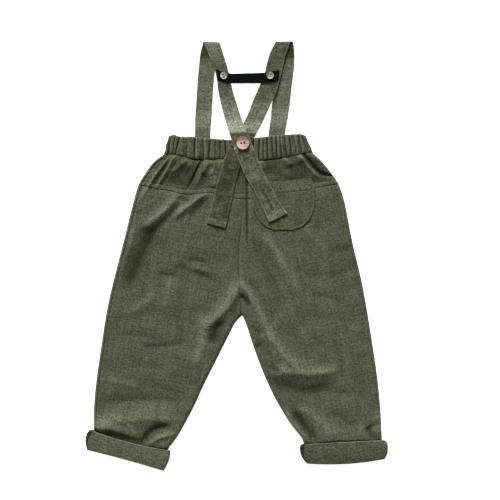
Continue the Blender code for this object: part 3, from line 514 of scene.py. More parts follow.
@dataclass(frozen=True)
class BackCloth:
    """Height and tone of the back sheet's upper face, with its creases, seams and puckers, and with shade and
    highlights painted into the tone.

    Places, depths and reaches are in millimetres. A tone of 0 is the deep dye, and 1.5 the pale.
    """

    edge_height: float = 1.05
    crease_scale: float = 1.35
    dents: Rough = (Dents(1.25, 27.0, 1.0, 0.0), Dents(0.55, 12.0, 0.6, 2.0), Dents(0.22, 6.0, 1.0, 5.0))
    centre_dip: Lines = (Line(0.0, 5.0, -1.2),)
    centre_seam: Lines = (Line(0.0, 1.1, -0.9),)
    side_seam_in: float = 4.6
    side_seam: Lines = (Line(side_seam_in, 1.1, -1.6),)
    right_side_seam: float = 0.3
    pucker_pitch: float = 6.5
    pucker_wander: float = 2.5
    pucker_line: Lines = (Line(3.6, 3.2, 0.5),)
    loose_puckers: Lines = (Line(-60.0, 16.0, 1.6), Line(112.0, 14.0, 1.4))
    right_puckers: float = 0.6
    fell_width: float = 6.6
    fell_raise: float = 0.9
    fell_slope: float = 0.8
    yoke_seam: Lines = (Line(-0.6, 0.9, -1.1), Line(fell_width + 0.5, 0.8, -0.99))
    waist: Lines = (Line(0.0, 2.6, -2.4), Line(9.0, 8.0, 1.8), Line(44.0, 14.0, -1.8))
    waist_pull: float = 0.8
    pull_width: float = 2.2
    pull_reach: float = 9.0
    cuff_puff: Line = Line(5.0, 14.0, 2.6)
    cuff_fall: float = 4.5
    cuff_slack: float = 0.4
    gentle_puff: float = 0.3
    gentle_fall: float = 0.45
    sunk_from: float = -135.0
    sunk_over: float = 8.0
    fell_stitch: float = 1.3
    fell_top_stitch: float = 1.2
    centre_stitch: float = 2.2
    side_stitch: float = 1.6

    usual_tone: float = 0.51
    # Painted highlight on ridges and pleats and painted shade in furrows and slits, by crease height.
    painted_ridge_highlight: float = 0.1
    painted_furrow_shade: float = 0.05
    painted_slit_shade: float = 0.09
    painted_pleat_highlight: float = 0.25
    clouds: Rough = (Dents(0.05, 34.0, 1.0, 8.0), Dents(0.05, 8.0, 0.35, 9.0))
    # Painted highlight beside the side seam and painted shade in its groove, weaker on the right; painted
    # shade in the fell's upper groove.
    painted_side_seam_light: Lines = (Line(1.6, 1.5, 0.2), Line(side_seam_in, 1.3, -0.42))
    painted_right_side_seam_light: float = 0.2
    painted_fell_shade: Lines = (Line(fell_width + 0.5, 1.1, -0.2),)
    # A painted highlight above each turn-up, and painted shade where the cloth drops into it.
    painted_above_cuff_highlight: Lines = (Line(16.0, 12.0, 0.14),)
    painted_cuff_shade: Pair = (0.05, 0.3)
    # Painted shade in the hollow of each yoke half, and a painted shadow under the waistband.
    middle: float = 4.0
    hollow_out: float = 86.0
    painted_hollow_shade: Pair = (0.22, 0.25)
    painted_waist_shadow: float = 0.08
    painted_waist_shadow_reach: float = 6.0

    def creases(self, x: Array, y: Array) -> Array:
        """Height of all creases together, calmer under the pocket."""
        spread = np.maximum(np.abs(x - POCKET_CENTRE[0]) / POCKET_REACH[0],
                            np.abs(y - POCKET_CENTRE[1]) / POCKET_REACH[1])
        calm = 1.0 - POCKET_CALM * smoothstep((1.05 - spread) / 0.25)
        return self.crease_scale * fold_height(MAIN_FOLDS + FINE_FOLDS, x, y) * calm

    def sunk(self, side: Side, x: Array) -> Array:
        """1 where the cloth drops steeply into the turn-up, 0 where it runs in gently."""
        if side is Side.RIGHT:
            return np.zeros(np.shape(x))
        return smoothstep((self.sunk_from - x) / self.sunk_over)

    def hollow(self, x: Array, above: Array) -> Array:
        """1 in the hollow of each yoke half, where shade is painted, 0 away from it, where above is counted
        from the yoke seam.
        """
        out = np.abs(np.abs(x - self.middle) - self.hollow_out)
        return smoothstep((above - 6.0) / 10.0) * smoothstep((58.0 - out) / 30.0)

    def tone(self, side: Side, x: Array, y: Array) -> Array:
        """How light the cloth is drawn: uneven dye, with painted shade in furrows, slits, hollows, under the
        waistband and where it drops into the turn-ups, and painted highlights on ridges, pleats and above the
        turn-ups, and painted light along the side seam and the fell.

        Args:
            side: Which half.
            x: Plan positions across, in the drawing's millimetres.
            y: Plan positions along.

        Returns:
            Tones about 0.5, in the shape of x.
        """
        left = side is Side.LEFT
        above = y - y_on(YOKE_SEAMS[side], x)
        below = y_on(WAIST_SEAM, x) - y
        entry = above_cuff(side, x, y)
        creases = np.clip(self.creases(x, y), -5.0, 3.6)
        # Painted highlight on ridges, painted shade in furrows and slits, and painted highlight along the
        # narrow pleats.
        tone = self.usual_tone + np.where(creases > 0.0, self.painted_ridge_highlight, self.painted_furrow_shade) * creases
        tone = tone + self.painted_slit_shade * fold_height([fold for fold in MAIN_FOLDS if fold.slit], x, y)
        tone = tone + self.painted_pleat_highlight * fold_height([fold for fold in MAIN_FOLDS if fold.pleat], x, y)
        # Uneven dye, and painted shade along the fell's upper groove.
        tone = tone + dented(x, y, self.clouds) + lines(above, self.painted_fell_shade)
        # Painted highlight and painted shade along the side seam, weaker on the right.
        side_line = lines(distance_to(SIDE_PATHS[side], x, y), self.painted_side_seam_light)
        tone = tone + side_line * (1.0 if left else self.painted_right_side_seam_light)
        # Painted shade in the yoke hollows and a painted shadow under the waistband.
        tone = tone - self.painted_hollow_shade[0 if left else 1] * self.hollow(x, above)
        tone = tone - self.painted_waist_shadow * np.exp(-below / self.painted_waist_shadow_reach)
        # Painted highlight above the turn-up and painted shade where the cloth drops into it, deeper on the
        # left.
        shade = mix(*self.painted_cuff_shade, self.sunk(side, x))
        return tone + lines(entry, self.painted_above_cuff_highlight) - shade * smoothstep((2.5 - entry) / 3.0)

    def gathers(self, x: Array, y: Array) -> Array:
        """Short puckers that run down from the waistband's grooves."""
        below = np.maximum(y_on(WAIST_SEAM, x) - y, 0.0)
        total = lines(x, [Line(groove.bottom, self.pull_width, -groove.depth) for groove in GROOVES[1:-1]])
        return self.waist_pull * total * np.exp(-below / self.pull_reach)

    def seams(self, side: Side, x: Array, y: Array) -> Array:
        """Relief of the side seam, the centre seam and the felled yoke seam."""
        left = side is Side.LEFT
        outer = distance_to(SIDE_PATHS[side], x, y)
        total = lines(outer, self.side_seam) * (1.0 if left else self.right_side_seam)
        change = uneven(x, y, 9.0, 3.0)
        turned = math.tau * (y + self.pucker_wander * change) / self.pucker_pitch
        ripple = np.sin(turned) * (0.5 + 0.5 * change)
        strength = 1.0 + lines(y, self.loose_puckers) if left else self.right_puckers
        total = total + strength * ripple * lines(outer, self.pucker_line)
        total = total + lines(distance_to(CENTRE, x, y), self.centre_seam)
        above = y - y_on(YOKE_SEAMS[side], x)
        half = self.fell_slope / 2
        fell = (smoothstep((above + half) / self.fell_slope)
                * smoothstep((self.fell_width + half - above) / self.fell_slope))
        return total + self.fell_raise * fell + lines(above, self.yoke_seam)

    def seam_paths(self, side: Side) -> list[Array]:
        """Plan lines of the stitching at one half's yoke seam, centre seam and side seam."""
        inward = 1.0 if side is Side.LEFT else -1.0
        yoke, centre = YOKE_SEAMS[side], smooth_path(SEAM_UPPER + SEAM_LOWER[1:])
        return [offset_path(yoke, self.fell_stitch),
                offset_path(yoke, self.fell_width - self.fell_top_stitch),
                offset_path(centre, -inward * self.centre_stitch),
                offset_path(SIDE_PATHS[side], inward * (self.side_seam_in + self.side_stitch))]

    def top(self, side: Side, x: Array, y: Array) -> Array:
        """Height of the sheet's upper face on one half of the garment.

        Args:
            side: Which half.
            x: Plan positions across, in the drawing's millimetres.
            y: Plan positions along.

        Returns:
            The heights, in the shape of x.
        """
        entry = above_cuff(side, x, y)
        sunk = self.sunk(side, x)
        loft = PUFF + self.creases(x, y) + self.gathers(x, y) + self.seams(side, x, y)
        loft = loft + dented(x, y, self.dents) + lines(distance_to(CENTRE, x, y), self.centre_dip)
        loft = loft + lines(y_on(WAIST_SEAM, x) - y, self.waist)
        loft = loft + mix(self.gentle_puff, 1.0, sunk) * lines(entry, [self.cuff_puff])
        full = 2 * CLOTH + GAP + np.maximum(LEAST_LOFT, loft)
        edge = np.minimum(distance_to(SIDE_PATHS[side], x, y), distance_to(INSEAM_PATHS[side], x, y))
        height = mix(self.edge_height, full, rise_from_edge(edge, EDGE_ROUND))
        fall = mix(self.gentle_fall * self.cuff_fall, self.cuff_fall, sunk)
        inside = CUFF_ENTRY + 2 * CLOTH + GAP - self.cuff_slack
        return mix(height, inside, smoothstep((fall - entry) / fall))


BACK_CLOTH = BackCloth()


# Meshes -------------------------------------------------------------------------------------

@dataclass
class Piece:
    """A finished piece: its object, and its upper face for what is laid on it."""

    item: Object
    surface: BVHTree


@dataclass(frozen=True)
class SheetFacts:
    flat: Pair
    held: Held
    rests_on: tuple[str, ...]
    area: Optional[float] = None


def in_frame(x: float, y: float) -> Pair:
    """A plan point of the drawing in the frame's metres."""
    return (x - DRAWING_CENTRE[0]) * MM, (y - DRAWING_CENTRE[1]) * MM


def link(name: str, data: bpy.types.ID) -> Object:
    """Put new data into the scene as an object."""
    item = bpy.data.objects.new(name, data)
    bpy.context.scene.collection.objects.link(item)
    return item


def place_mesh(name: str, mesh: BMesh, material: Material) -> Piece:
    """Turn a bmesh in the drawing's millimetres into a linked object in metres.

    Args:
        name: The piece's name.
        mesh: The bmesh, which is freed.
        material: Its finish.

    Returns:
        The finished piece, with the surface still in millimetres.
    """
    surface = BVHTree.FromBMesh(mesh)
    bmesh.ops.translate(mesh, vec=(-DRAWING_CENTRE[0], -DRAWING_CENTRE[1], 0.0), verts=mesh.verts[:])
    bmesh.ops.scale(mesh, vec=(MM, MM, MM), verts=mesh.verts[:])
    data = bpy.data.meshes.new(name)
    mesh.to_mesh(data)
    mesh.free()
    data.shade_smooth()
    data.materials.append(material)
    return Piece(link(name, data), surface)


def sheet_mesh(points: Array, weave: Array, tone: Numbers = 0.5) -> BMesh:
    """Bend an operator's grid through an array of points, facing up.

    Args:
        points: Positions in millimetres, indexed by row, column and axis.
        weave: Position of each point along the threads, in metres, by row, column and axis.
        tone: How light the cloth is drawn, uneven dye and painted shade and highlights together, with 0.5 for
            the usual, by row and column.

    Returns:
        The sheet as a bmesh with a UV map named weave and a point attribute named tone.
    """
    rows, columns = points.shape[0] - 1, points.shape[1] - 1
    mesh = bmesh.new()
    bmesh.ops.create_grid(mesh, x_segments=columns, y_segments=rows, size=0.5)
    layer = mesh.loops.layers.uv.new("weave")
    shade = mesh.verts.layers.float.new("tone")
    tones = np.broadcast_to(tone, points.shape[:2])
    places = {v.index: (round((0.5 - v.co.y) * rows), round((v.co.x + 0.5) * columns)) for v in mesh.verts}
    for v in mesh.verts:
        v.co = points[places[v.index]]
        v[shade] = tones[places[v.index]]
    for face in mesh.faces:
        for loop in face.loops:
            loop[layer].uv = weave[places[loop.vert.index]]
    mesh.normal_update()
    if sum(face.normal.z for face in mesh.faces) < 0.0:
        bmesh.ops.reverse_faces(mesh, faces=mesh.faces[:])
    return mesh


def thicken(piece: Piece, thickness: float, round_edge: bool = False) -> Piece:
    """Give a sheet its thickness below its upper face.

    Args:
        piece: The sheet.
        thickness: In millimetres.
        round_edge: Whether its cut edges are rounded.

    Returns:
        The sheet.
    """
    solid = piece.item.modifiers.new("thickness", "SOLIDIFY")
    solid.thickness = thickness * MM
    solid.offset = -1.0
    if round_edge:
        bevel = piece.item.modifiers.new("edges", "BEVEL")
        bevel.width = 0.35 * thickness * MM
        bevel.segments = 2
        bevel.limit_method = "ANGLE"
        bevel.angle_limit = math.radians(60.0)
    return piece


def hand_over(piece: Piece, node: Optional[str]) -> None:
    """Tell the frame what a piece rides on and stands for, and log its face count.

    Args:
        piece: The finished piece.
        node: The CAD node that it replaces, if it does.
    """
    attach(piece.item, BODY)
    if node:
        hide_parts(node)
    LOG.info("%s: %d faces", piece.item.name, len(piece.item.data.polygons))


def top_at(surfaces: Surfaces, x: float, y: float) -> float:
    """Top of whatever lies exactly under (x, y), in millimetres, and 0 where nothing does."""
    start, down = Vector((x, y, 100.0)), Vector((0.0, 0.0, -1.0))
    best = 0.0
    for surface in surfaces:
        hit = surface.ray_cast(start, down)[0]
        if hit is not None:
            best = max(best, hit.z)
    return best


def rest_height(surfaces: Surfaces, x: float, y: float, reach: float) -> float:
    """Top of whatever lies under a small round patch about (x, y), in millimetres."""
    angles = [k * math.pi / 4 for k in range(8)]
    spots = [(x, y)]
    for radius in (0.5 * reach, reach):
        spots += [(x + math.cos(a) * radius, y + math.sin(a) * radius) for a in angles]
    return max(top_at(surfaces, *spot) for spot in spots)


def even_shares(length: float, step: float) -> Array:
    """Even shares from 0 to 1 along a length, at about one step in millimetres."""
    return np.linspace(0.0, 1.0, max(3, round(length / step) + 1))


def close_at_ends(length: float, step: float) -> Array:
    """Shares from 0 to 1 along a length, at about one step and closer at its rounded ends."""
    close = np.array([0.0, 0.15, 0.5, 1.0, 1.7, 2.6, 3.6, 4.8, 6.2, 7.6]) / length
    inner = np.linspace(close[-1], 1.0 - close[-1], max(3, round(length / step)))
    return np.concatenate([close[:-1], inner, 1.0 - close[:-1][::-1]])


# Panels -------------------------------------------------------------------------------------

def along_threads(points: Array, lean: float) -> Array:
    """Positions along a panel's threads, in metres.

    Args:
        points: Plan points in millimetres, with the coordinates last.
        lean: How far the threads lean from the drawing's Y axis, in degrees.

    Returns:
        Positions across and along the threads.
    """
    cos, sin = math.cos(math.radians(lean)), math.sin(math.radians(lean))
    x, y = points[..., 0], points[..., 1]
    return np.stack([x * cos + y * sin, y * cos - x * sin], axis=-1) * MM


@dataclass(frozen=True)
class LegPanel:
    """One leg panel, from its top seam to its hem."""

    side: Side
    step: float = 1.8
    front_step: float = 4.5
    upper_length: float = 174.0
    lower_length: float = 235.0
    lean: float = 11.0
    top_gap: float = 0.06
    front_gap: float = 0.1
    stagger: float = 0.5
    hold: float = 0.46

    def plan(self, step: float, with_hip: bool) -> Array:
        """Plan points of the panel.

        Args:
            step: The usual step in millimetres.
            with_hip: Whether the panel reaches up to the waistband, as the front one does.

        Returns:
            Points by row, column and axis, in the drawing's millimetres.
        """
        left = self.side is Side.LEFT
        hip, rest = (HIP_LEFT, SIDE_LEFT) if left else (HIP_RIGHT, SIDE_RIGHT)
        outer = smooth_path(hip + rest[1:] if with_hip else rest)
        seam = smooth_path(SEAM_UPPER + SEAM_LOWER[1:] if with_hip else SEAM_LOWER)
        inseam = smooth_path(INSEAM_LEFT if left else INSEAM_RIGHT)
        upper = np.linspace(0.0, 1.0, round(self.upper_length / step), endpoint=False)
        lower = np.linspace(0.0, 1.0, round(self.lower_length / step))
        outers = at_share(outer, np.concatenate([upper * CROTCH_SHARE, mix(CROTCH_SHARE, 1.0, lower)]))
        inners = np.vstack([at_share(seam, upper), at_share(inseam, lower)])
        away = (-self.top_gap if left else self.top_gap) + (self.stagger if with_hip else 0.0)
        inners[:, 0] += away * np.concatenate([np.ones(len(upper)), 1.0 - lower])
        shares = close_at_ends(math.dist(outers[0], inners[0]), step)[None, :, None]
        points = mix(outers[:, None, :], inners[:, None, :], shares)
        top_edge = FRONT_SEAM if with_hip else YOKE_SEAMS[self.side]
        wanted = y_on(top_edge, points[0, :, 0]) - (self.front_gap if with_hip else self.top_gap)
        ease = np.concatenate([1.0 - smoothstep(upper / self.hold), np.zeros(len(lower))])
        points[:, :, 1] += np.outer(ease, wanted - points[0, :, 1])
        return points

    def threads(self, points: Array) -> Array:
        """Positions along the panel's threads, which follow the leg's lean."""
        return along_threads(points, -self.lean if self.side is Side.LEFT else self.lean)

    def back(self, material: Material) -> Piece:
        """The back panel, a loose folded sheet."""
        points = self.plan(self.step, with_hip=False)
        return back_sheet("leg_back_" + self.side.value, self.side, points, self.threads(points), material)

    def front(self, material: Material) -> Piece:
        """The hidden front panel, flat on the surface and lifted only into its turn-up."""
        points = self.plan(self.front_step, with_hip=True)
        height = CLOTH + CUFF_ENTRY * into_cuff(self.side, points[..., 0], points[..., 1])
        mesh = sheet_mesh(np.dstack([points, height]), self.threads(points))
        return thicken(place_mesh("leg_front_" + self.side.value, mesh, material), CLOTH, round_edge=True)


def back_sheet(name: str, side: Side, points: Array, threads: Array, material: Material) -> Piece:
    """Lay a panel of the back over the front, with its folds and its dye.

    Args:
        name: The piece's name.
        side: Which half it belongs to.
        points: Its plan points by row, column and axis.
        threads: Position of each point along the threads.
        material: Its finish.

    Returns:
        The sheet.
    """
    x, y = points[..., 0], points[..., 1]
    height = BACK_CLOTH.top(side, x, y)
    mesh = sheet_mesh(np.dstack([points, height]), threads, BACK_CLOTH.tone(side, x, y))
    return thicken(place_mesh(name, mesh, material), CLOTH)


@dataclass(frozen=True)
class YokePanel:
    """One half of the back yoke, between the waistband and the felled yoke seam."""

    side: Side
    step: float = 1.15
    rows: int = 48
    gap: float = 0.06

    def plan(self) -> Array:
        """Plan points on a Coons patch between the panel's four edges."""
        left = self.side is Side.LEFT
        top = smooth_path(WAIST_SEAM_LEFT if left else WAIST_SEAM_RIGHT) - [0.0, self.gap]
        bottom = YOKE_SEAMS[self.side] + [0.0, self.gap]
        outer = smooth_path(HIP_LEFT if left else HIP_RIGHT)
        centre = smooth_path(SEAM_UPPER) + [-self.gap if left else self.gap, 0.0]
        if not left:
            top, bottom = top[::-1], bottom[::-1]
        u = even_shares(math.dist(bottom[0], bottom[-1]), self.step)[None, :, None]
        v = np.linspace(0.0, 1.0, self.rows)[:, None, None]
        across = mix(at_share(top, u[..., 0]), at_share(bottom, u[..., 0]), v)
        down = mix(at_share(outer, v[..., 0]), at_share(centre, v[..., 0]), u)
        corners = mix(mix(top[0], top[-1], u), mix(bottom[0], bottom[-1], u), v)
        return across + down - corners

    def build(self, material: Material) -> Piece:
        """The pleated sheet of the yoke."""
        points = self.plan()
        return back_sheet("yoke_panel_" + self.side.value, self.side, points, along_threads(points, 0.0),
                          material)


# Waistband ----------------------------------------------------------------------------------

@dataclass(frozen=True)
class Waistband:
    """The gathered elastic casing: rounded humps between grooves, and its flat front half."""

    inner: float = 2.6
    lift: float = 1.7
    back: float = 2.1
    rim: float = 1.2
    rim_share: float = 0.12
    end_height: float = 2.3
    end_round: float = 3.2
    casing: float = 1.7
    per_gather: int = 14
    rows: int = 26
    hump: float = 0.45
    cleft: float = 2.0
    cleft_width: float = 0.95
    deepest: float = 1.7
    scallop: float = 1.0
    usual_swell: float = 0.84
    teeth: Rough = (Dents(0.6, 2.6, 0.0, 12.0),)
    wander: Rough = (Dents(1.2, 9.0, 30.0, 1.0),)
    swells: Rough = (Dents(0.3, 11.0, 1.0, 2.0),)
    rucks: Rough = (Dents(0.7, 3.2, 0.12, 6.0),)
    small_dents: Rough = (Dents(0.12, 3.5, 1.0, 4.0),)
    sewn: Lines = (Line(0.93, 0.025, -0.5),)
    seam_lap: float = 0.06
    weave_stretch: float = 1.35

    # Painted light: highlights on the humps, beside each cleft, on the rucks and along the top edge, and
    # shade in the clefts and along the bottom seam.
    usual_tone: float = 0.4
    painted_hump_highlight: float = 0.05
    painted_cleft_light: float = 0.5
    lit_side: float = 2.0
    painted_edge_light: Lines = (Line(0.0, 0.05, 0.22), Line(1.0, 0.05, -0.16))
    painted_ruck_light: Rough = (Dents(0.34, 3.2, 0.12, 6.0),)

    front: float = 2.0
    inset: float = 0.6

    def over_strap_end(self, x: Array) -> Array:
        """1 over the hidden front end of a strap, 0 away from it."""
        share = np.zeros(np.shape(x))
        for front_run, _ in STRAP_RUNS.values():
            middle = (front_run[0].left + front_run[0].right) / 2
            half = (front_run[0].right - front_run[0].left) / 2
            share = np.maximum(share, smoothstep((half + 14.0 - np.abs(x - middle)) / 10.0))
        return share

    def columns(self) -> tuple[Array, Array, Array]:
        """Top x, bottom x and swell of each column of points."""
        rows = []
        for left, right in zip(GROOVES, GROOVES[1:]):
            for t in np.arange(self.per_gather) / self.per_gather:
                swell = math.sin(math.pi * t) ** self.hump * (left.depth + right.depth) / 2
                rows.append((mix(left.top, right.top, t), mix(left.bottom, right.bottom, t), swell))
        rows.append((GROOVES[-1].top, GROOVES[-1].bottom, 0.0))
        return tuple(np.array(rows).T)

    def clefts(self, x: Array, v: Array) -> Array:
        """1 in the bottom of a groove between two gathers, 0 away from it.

        Args:
            x: Plan positions across.
            v: Shares down the band, for each row.

        Returns:
            The share of a cleft's depth at each point.
        """
        total = np.zeros(np.shape(x))
        for groove in GROOVES[1:-1]:
            reach = self.cleft_width * (0.6 + 0.4 * groove.depth)
            cleft = bell(x, mix(groove.top, groove.bottom, v), reach)
            total = np.maximum(total, groove.depth / self.deepest * cleft)
        return total

    def build_back(self, material: Material) -> Piece:
        """The gathered back half."""
        top_x, bottom_x, swell = self.columns()
        v = np.linspace(0.0, 1.0, self.rows)[:, None]
        arch = np.sin(math.pi * v)
        wander = dented(*np.broadcast_arrays(top_x[None, :], v), self.wander) * arch
        plain_x = mix(top_x[None, :], bottom_x[None, :], v)
        x = plain_x + wander
        top_y = y_on(WAIST_LINE, top_x) + self.scallop * (swell - self.usual_swell) / 1.4
        top_y = top_y + dented(top_x, top_x, self.teeth)
        y = mix(top_y[None, :], y_on(WAIST_SEAM, bottom_x)[None, :] + self.seam_lap, v)
        ends = rise_from_edge(np.minimum(x - x[:, :1], x[:, -1:] - x), self.end_round)
        rim = rise_from_edge(np.minimum(v, 1 - v), self.rim_share) * ends
        loft = swell * (0.72 + 0.28 * arch) * (1.0 + dented(x, y, self.swells))
        loft = loft + dented(plain_x, y, self.rucks) + dented(x, y, self.small_dents) + lines(v, self.sewn)
        height = self.inner + self.lift * self.over_strap_end(x) + mix(self.rim, self.back + loft, rim)
        clefts = self.clefts(plain_x, v)
        height = mix(self.end_height, height, ends) - self.cleft * clefts * rim
        # Painted highlight beside each cleft and painted shade in it, with painted highlights on the humps
        # and rucks and painted light at the edges.
        lit = self.clefts(plain_x - self.lit_side, v) - clefts
        tone = self.usual_tone + lines(v, self.painted_edge_light) + dented(plain_x, y, self.painted_ruck_light)
        tone = tone + rim * (self.painted_hump_highlight * swell + self.painted_cleft_light * lit)
        weave = np.stack([x * self.weave_stretch, y], axis=-1) * MM
        mesh = sheet_mesh(np.dstack([x, y, height]), weave, tone)
        return thicken(place_mesh("band_back", mesh, material), self.casing)

    def build_front(self, material: Material) -> Piece:
        """The hidden flat front half, just inside the outline of the back one."""
        u = np.linspace(0.0, 1.0, 60)[None, :]
        v = np.linspace(0.0, 1.0, 10)[:, None]
        first, last = GROOVES[0], GROOVES[-1]
        top_x = mix(first.top + self.inset, last.top - self.inset, u)
        bottom_x = mix(first.bottom + self.inset, last.bottom - self.inset, u)
        x = mix(top_x, bottom_x, v)
        y = mix(y_on(WAIST_LINE, top_x) - self.inset, y_on(FRONT_SEAM, bottom_x), v)
        mesh = sheet_mesh(np.dstack([x, y, np.full(x.shape, self.front)]), np.stack([x, y], axis=-1) * MM)
        return thicken(place_mesh("band_front", mesh, material), self.front, round_edge=True)


# Turn-ups -----------------------------------------------------------------------------------

@dataclass(frozen=True)
class TurnUp:
    """A turned-up hem: a flattened tube, two layers thick, with a fold at its lower edge."""

    side: Side
    wall: float = 2.0
    rim: float = 1.0
    opening: tuple[Pair, ...] = ((0.0, 1.5), (0.0, 1.1), (0.35, 0.62), (0.75, 0.28), (1.15, 0.07))
    folded: tuple[Pair, ...] = ((0.15, 0.12), (0.0, 0.45), (0.0, 1.0))
    around: int = 236
    stations: int = 22
    inner_rows: int = 12
    weave_step: float = 1.45
    dents: float = 0.75
    hem: Lines = (Line(0.12, 0.022, -0.35),)
    settled: float = 0.3
    # A painted highlight along the open edge, with a darker line just under it.
    wear_and_painted_light: Lines = (Line(0.6, 1.2, 0.75), Line(3.4, 0.7, -0.2))
    left_tone: float = 0.92
    right_tone: float = 0.7
    fading: float = 0.4
    # A painted shadow inside the tube's left end.
    painted_end_shadow: float = 1.3
    painted_shadow_reach: Pair = (8.5, 2.5)
    patches: Rough = (Dents(0.1, 17.0, 1.0, 4.0),)
    seam_rows: int = 9
    seam_row: int = 1
    seam_span: Pair = (0.04, 0.96)

    def seam_path(self) -> Array:
        """Plan line of the stitching, just under the open edge."""
        row = smooth_rows(CUFFS[self.side.value], self.seam_rows)[self.seam_row]
        left, right = row[0:2], row[2:4]
        share = np.linspace(*self.seam_span, 50)
        along = (right - left) / math.dist(left, right)
        return mix(left, right, share[:, None]) - np.outer(bow(share, row[4]), [along[1], -along[0]])

    def ring(self, row: Array, inset: float) -> tuple[Array, Array]:
        """Points round one station, and their distance round it.

        Args:
            row: The station's ends, bow and height, as in CuffRow.
            inset: How far inside the outer face, in millimetres.

        Returns:
            The points, and the distance round at each.
        """
        left, right = row[0:2], row[2:4]
        span = math.dist(left, right)
        along = (right - left) / span
        down = np.array([along[1], -along[0]])
        middle, radius = row[5] / 2, max(0.4, row[5] / 2 - inset)
        first, last = inset + radius, span - inset - radius
        flat, bend = last - first, math.pi * radius
        run = np.linspace(0.0, 1.0, self.around + 1) * 2 * (flat + bend)
        half = run >= flat + bend
        place = np.where(half, run - flat - bend, run)
        angle = np.maximum(place - flat, 0.0) / radius
        s = first + np.minimum(place, flat) + radius * np.sin(angle)
        s = np.where(half, first + last - s, s)
        z = middle + np.where(half, -radius, radius) * np.cos(angle)
        plan = left + np.outer(s, along) - np.outer(bow(np.clip(s / span, 0.0, 1.0), row[4]), down)
        return np.column_stack([plan, z]), run

    def profile(self) -> list[Pair]:
        """Station and inset of each ring, from the open edge down to the fold and back up inside."""
        end = self.stations - 1
        outside = [(k, 0.0) for k in np.linspace(1.5, end - 0.5, self.stations * 2)]
        inside = [(k, self.wall) for k in np.linspace(end - 0.3, 0.3, self.inner_rows)]
        opening = [(place, self.rim * inset) for place, inset in self.opening]
        folded = [(end - place, self.rim * inset) for place, inset in self.folded]
        return opening + outside + folded + inside + opening[:1]

    def relief(self, ring: Array, place: float) -> Array:
        """Uneven height of the outer face at one ring, with the hem's line."""
        x, y = ring[:, 0], ring[:, 1]
        bumps = uneven(x, y, 15.0, 7.0) + 0.5 * uneven(x + 0.7 * y, y, 6.0, 9.0)
        return self.dents * bumps + lines(place / (self.stations - 1), self.hem) - self.settled

    def tone(self, ring: Array, place: float, end: Array) -> Array:
        """How light one ring is drawn: a painted highlight along the open edge with a darker line just under
        it, a painted shadow inside the tube's left end, lighter towards the open edge, and uneven dye.

        Args:
            ring: The ring's points.
            place: Its station.
            end: Plan point of its left end.

        Returns:
            The tone of each point.
        """
        share = place / self.stations
        shade = smoothstep((mix(*self.painted_shadow_reach, share) - np.hypot(*(ring[:, :2] - end).T)) / 2.0)
        base = (self.left_tone if self.side is Side.LEFT else self.right_tone) - self.fading * share
        patches = dented(ring[:, 0], ring[:, 1], self.patches)
        # Painted highlight at the open edge with a darker line under it, and painted shadow at the left end.
        return base + lines(place, self.wear_and_painted_light) - self.painted_end_shadow * shade + patches

    def build(self, material: Material) -> Piece:
        """The closed tube of the turn-up."""
        rows = smooth_rows(CUFFS[self.side.value], self.stations)
        points, weave, tones = [], [], []
        for place, inset in self.profile():
            row = np.array([np.interp(place, np.arange(len(rows)), column) for column in rows.T])
            ring, run = self.ring(row, inset)
            if inset == 0.0:
                upper = smoothstep((ring[:, 2] - 3.0) / 2.0)
                ring[:, 2] = np.minimum(ring[:, 2] + upper * self.relief(ring, place), row[5])
            points.append(ring)
            weave.append(np.column_stack([run, np.full(len(run), place * self.weave_step)]) * MM)
            tones.append(self.tone(ring, place, row[0:2]))
        mesh = sheet_mesh(np.array(points), np.array(weave), np.array(tones))
        bmesh.ops.remove_doubles(mesh, verts=mesh.verts[:], dist=0.001)
        bmesh.ops.recalc_face_normals(mesh, faces=mesh.faces[:])
        if mesh.calc_volume(signed=True) < 0.0:
            bmesh.ops.reverse_faces(mesh, faces=mesh.faces[:])
        return place_mesh("turn_up_" + self.side.value, mesh, material)


# Pocket -------------------------------------------------------------------------------------

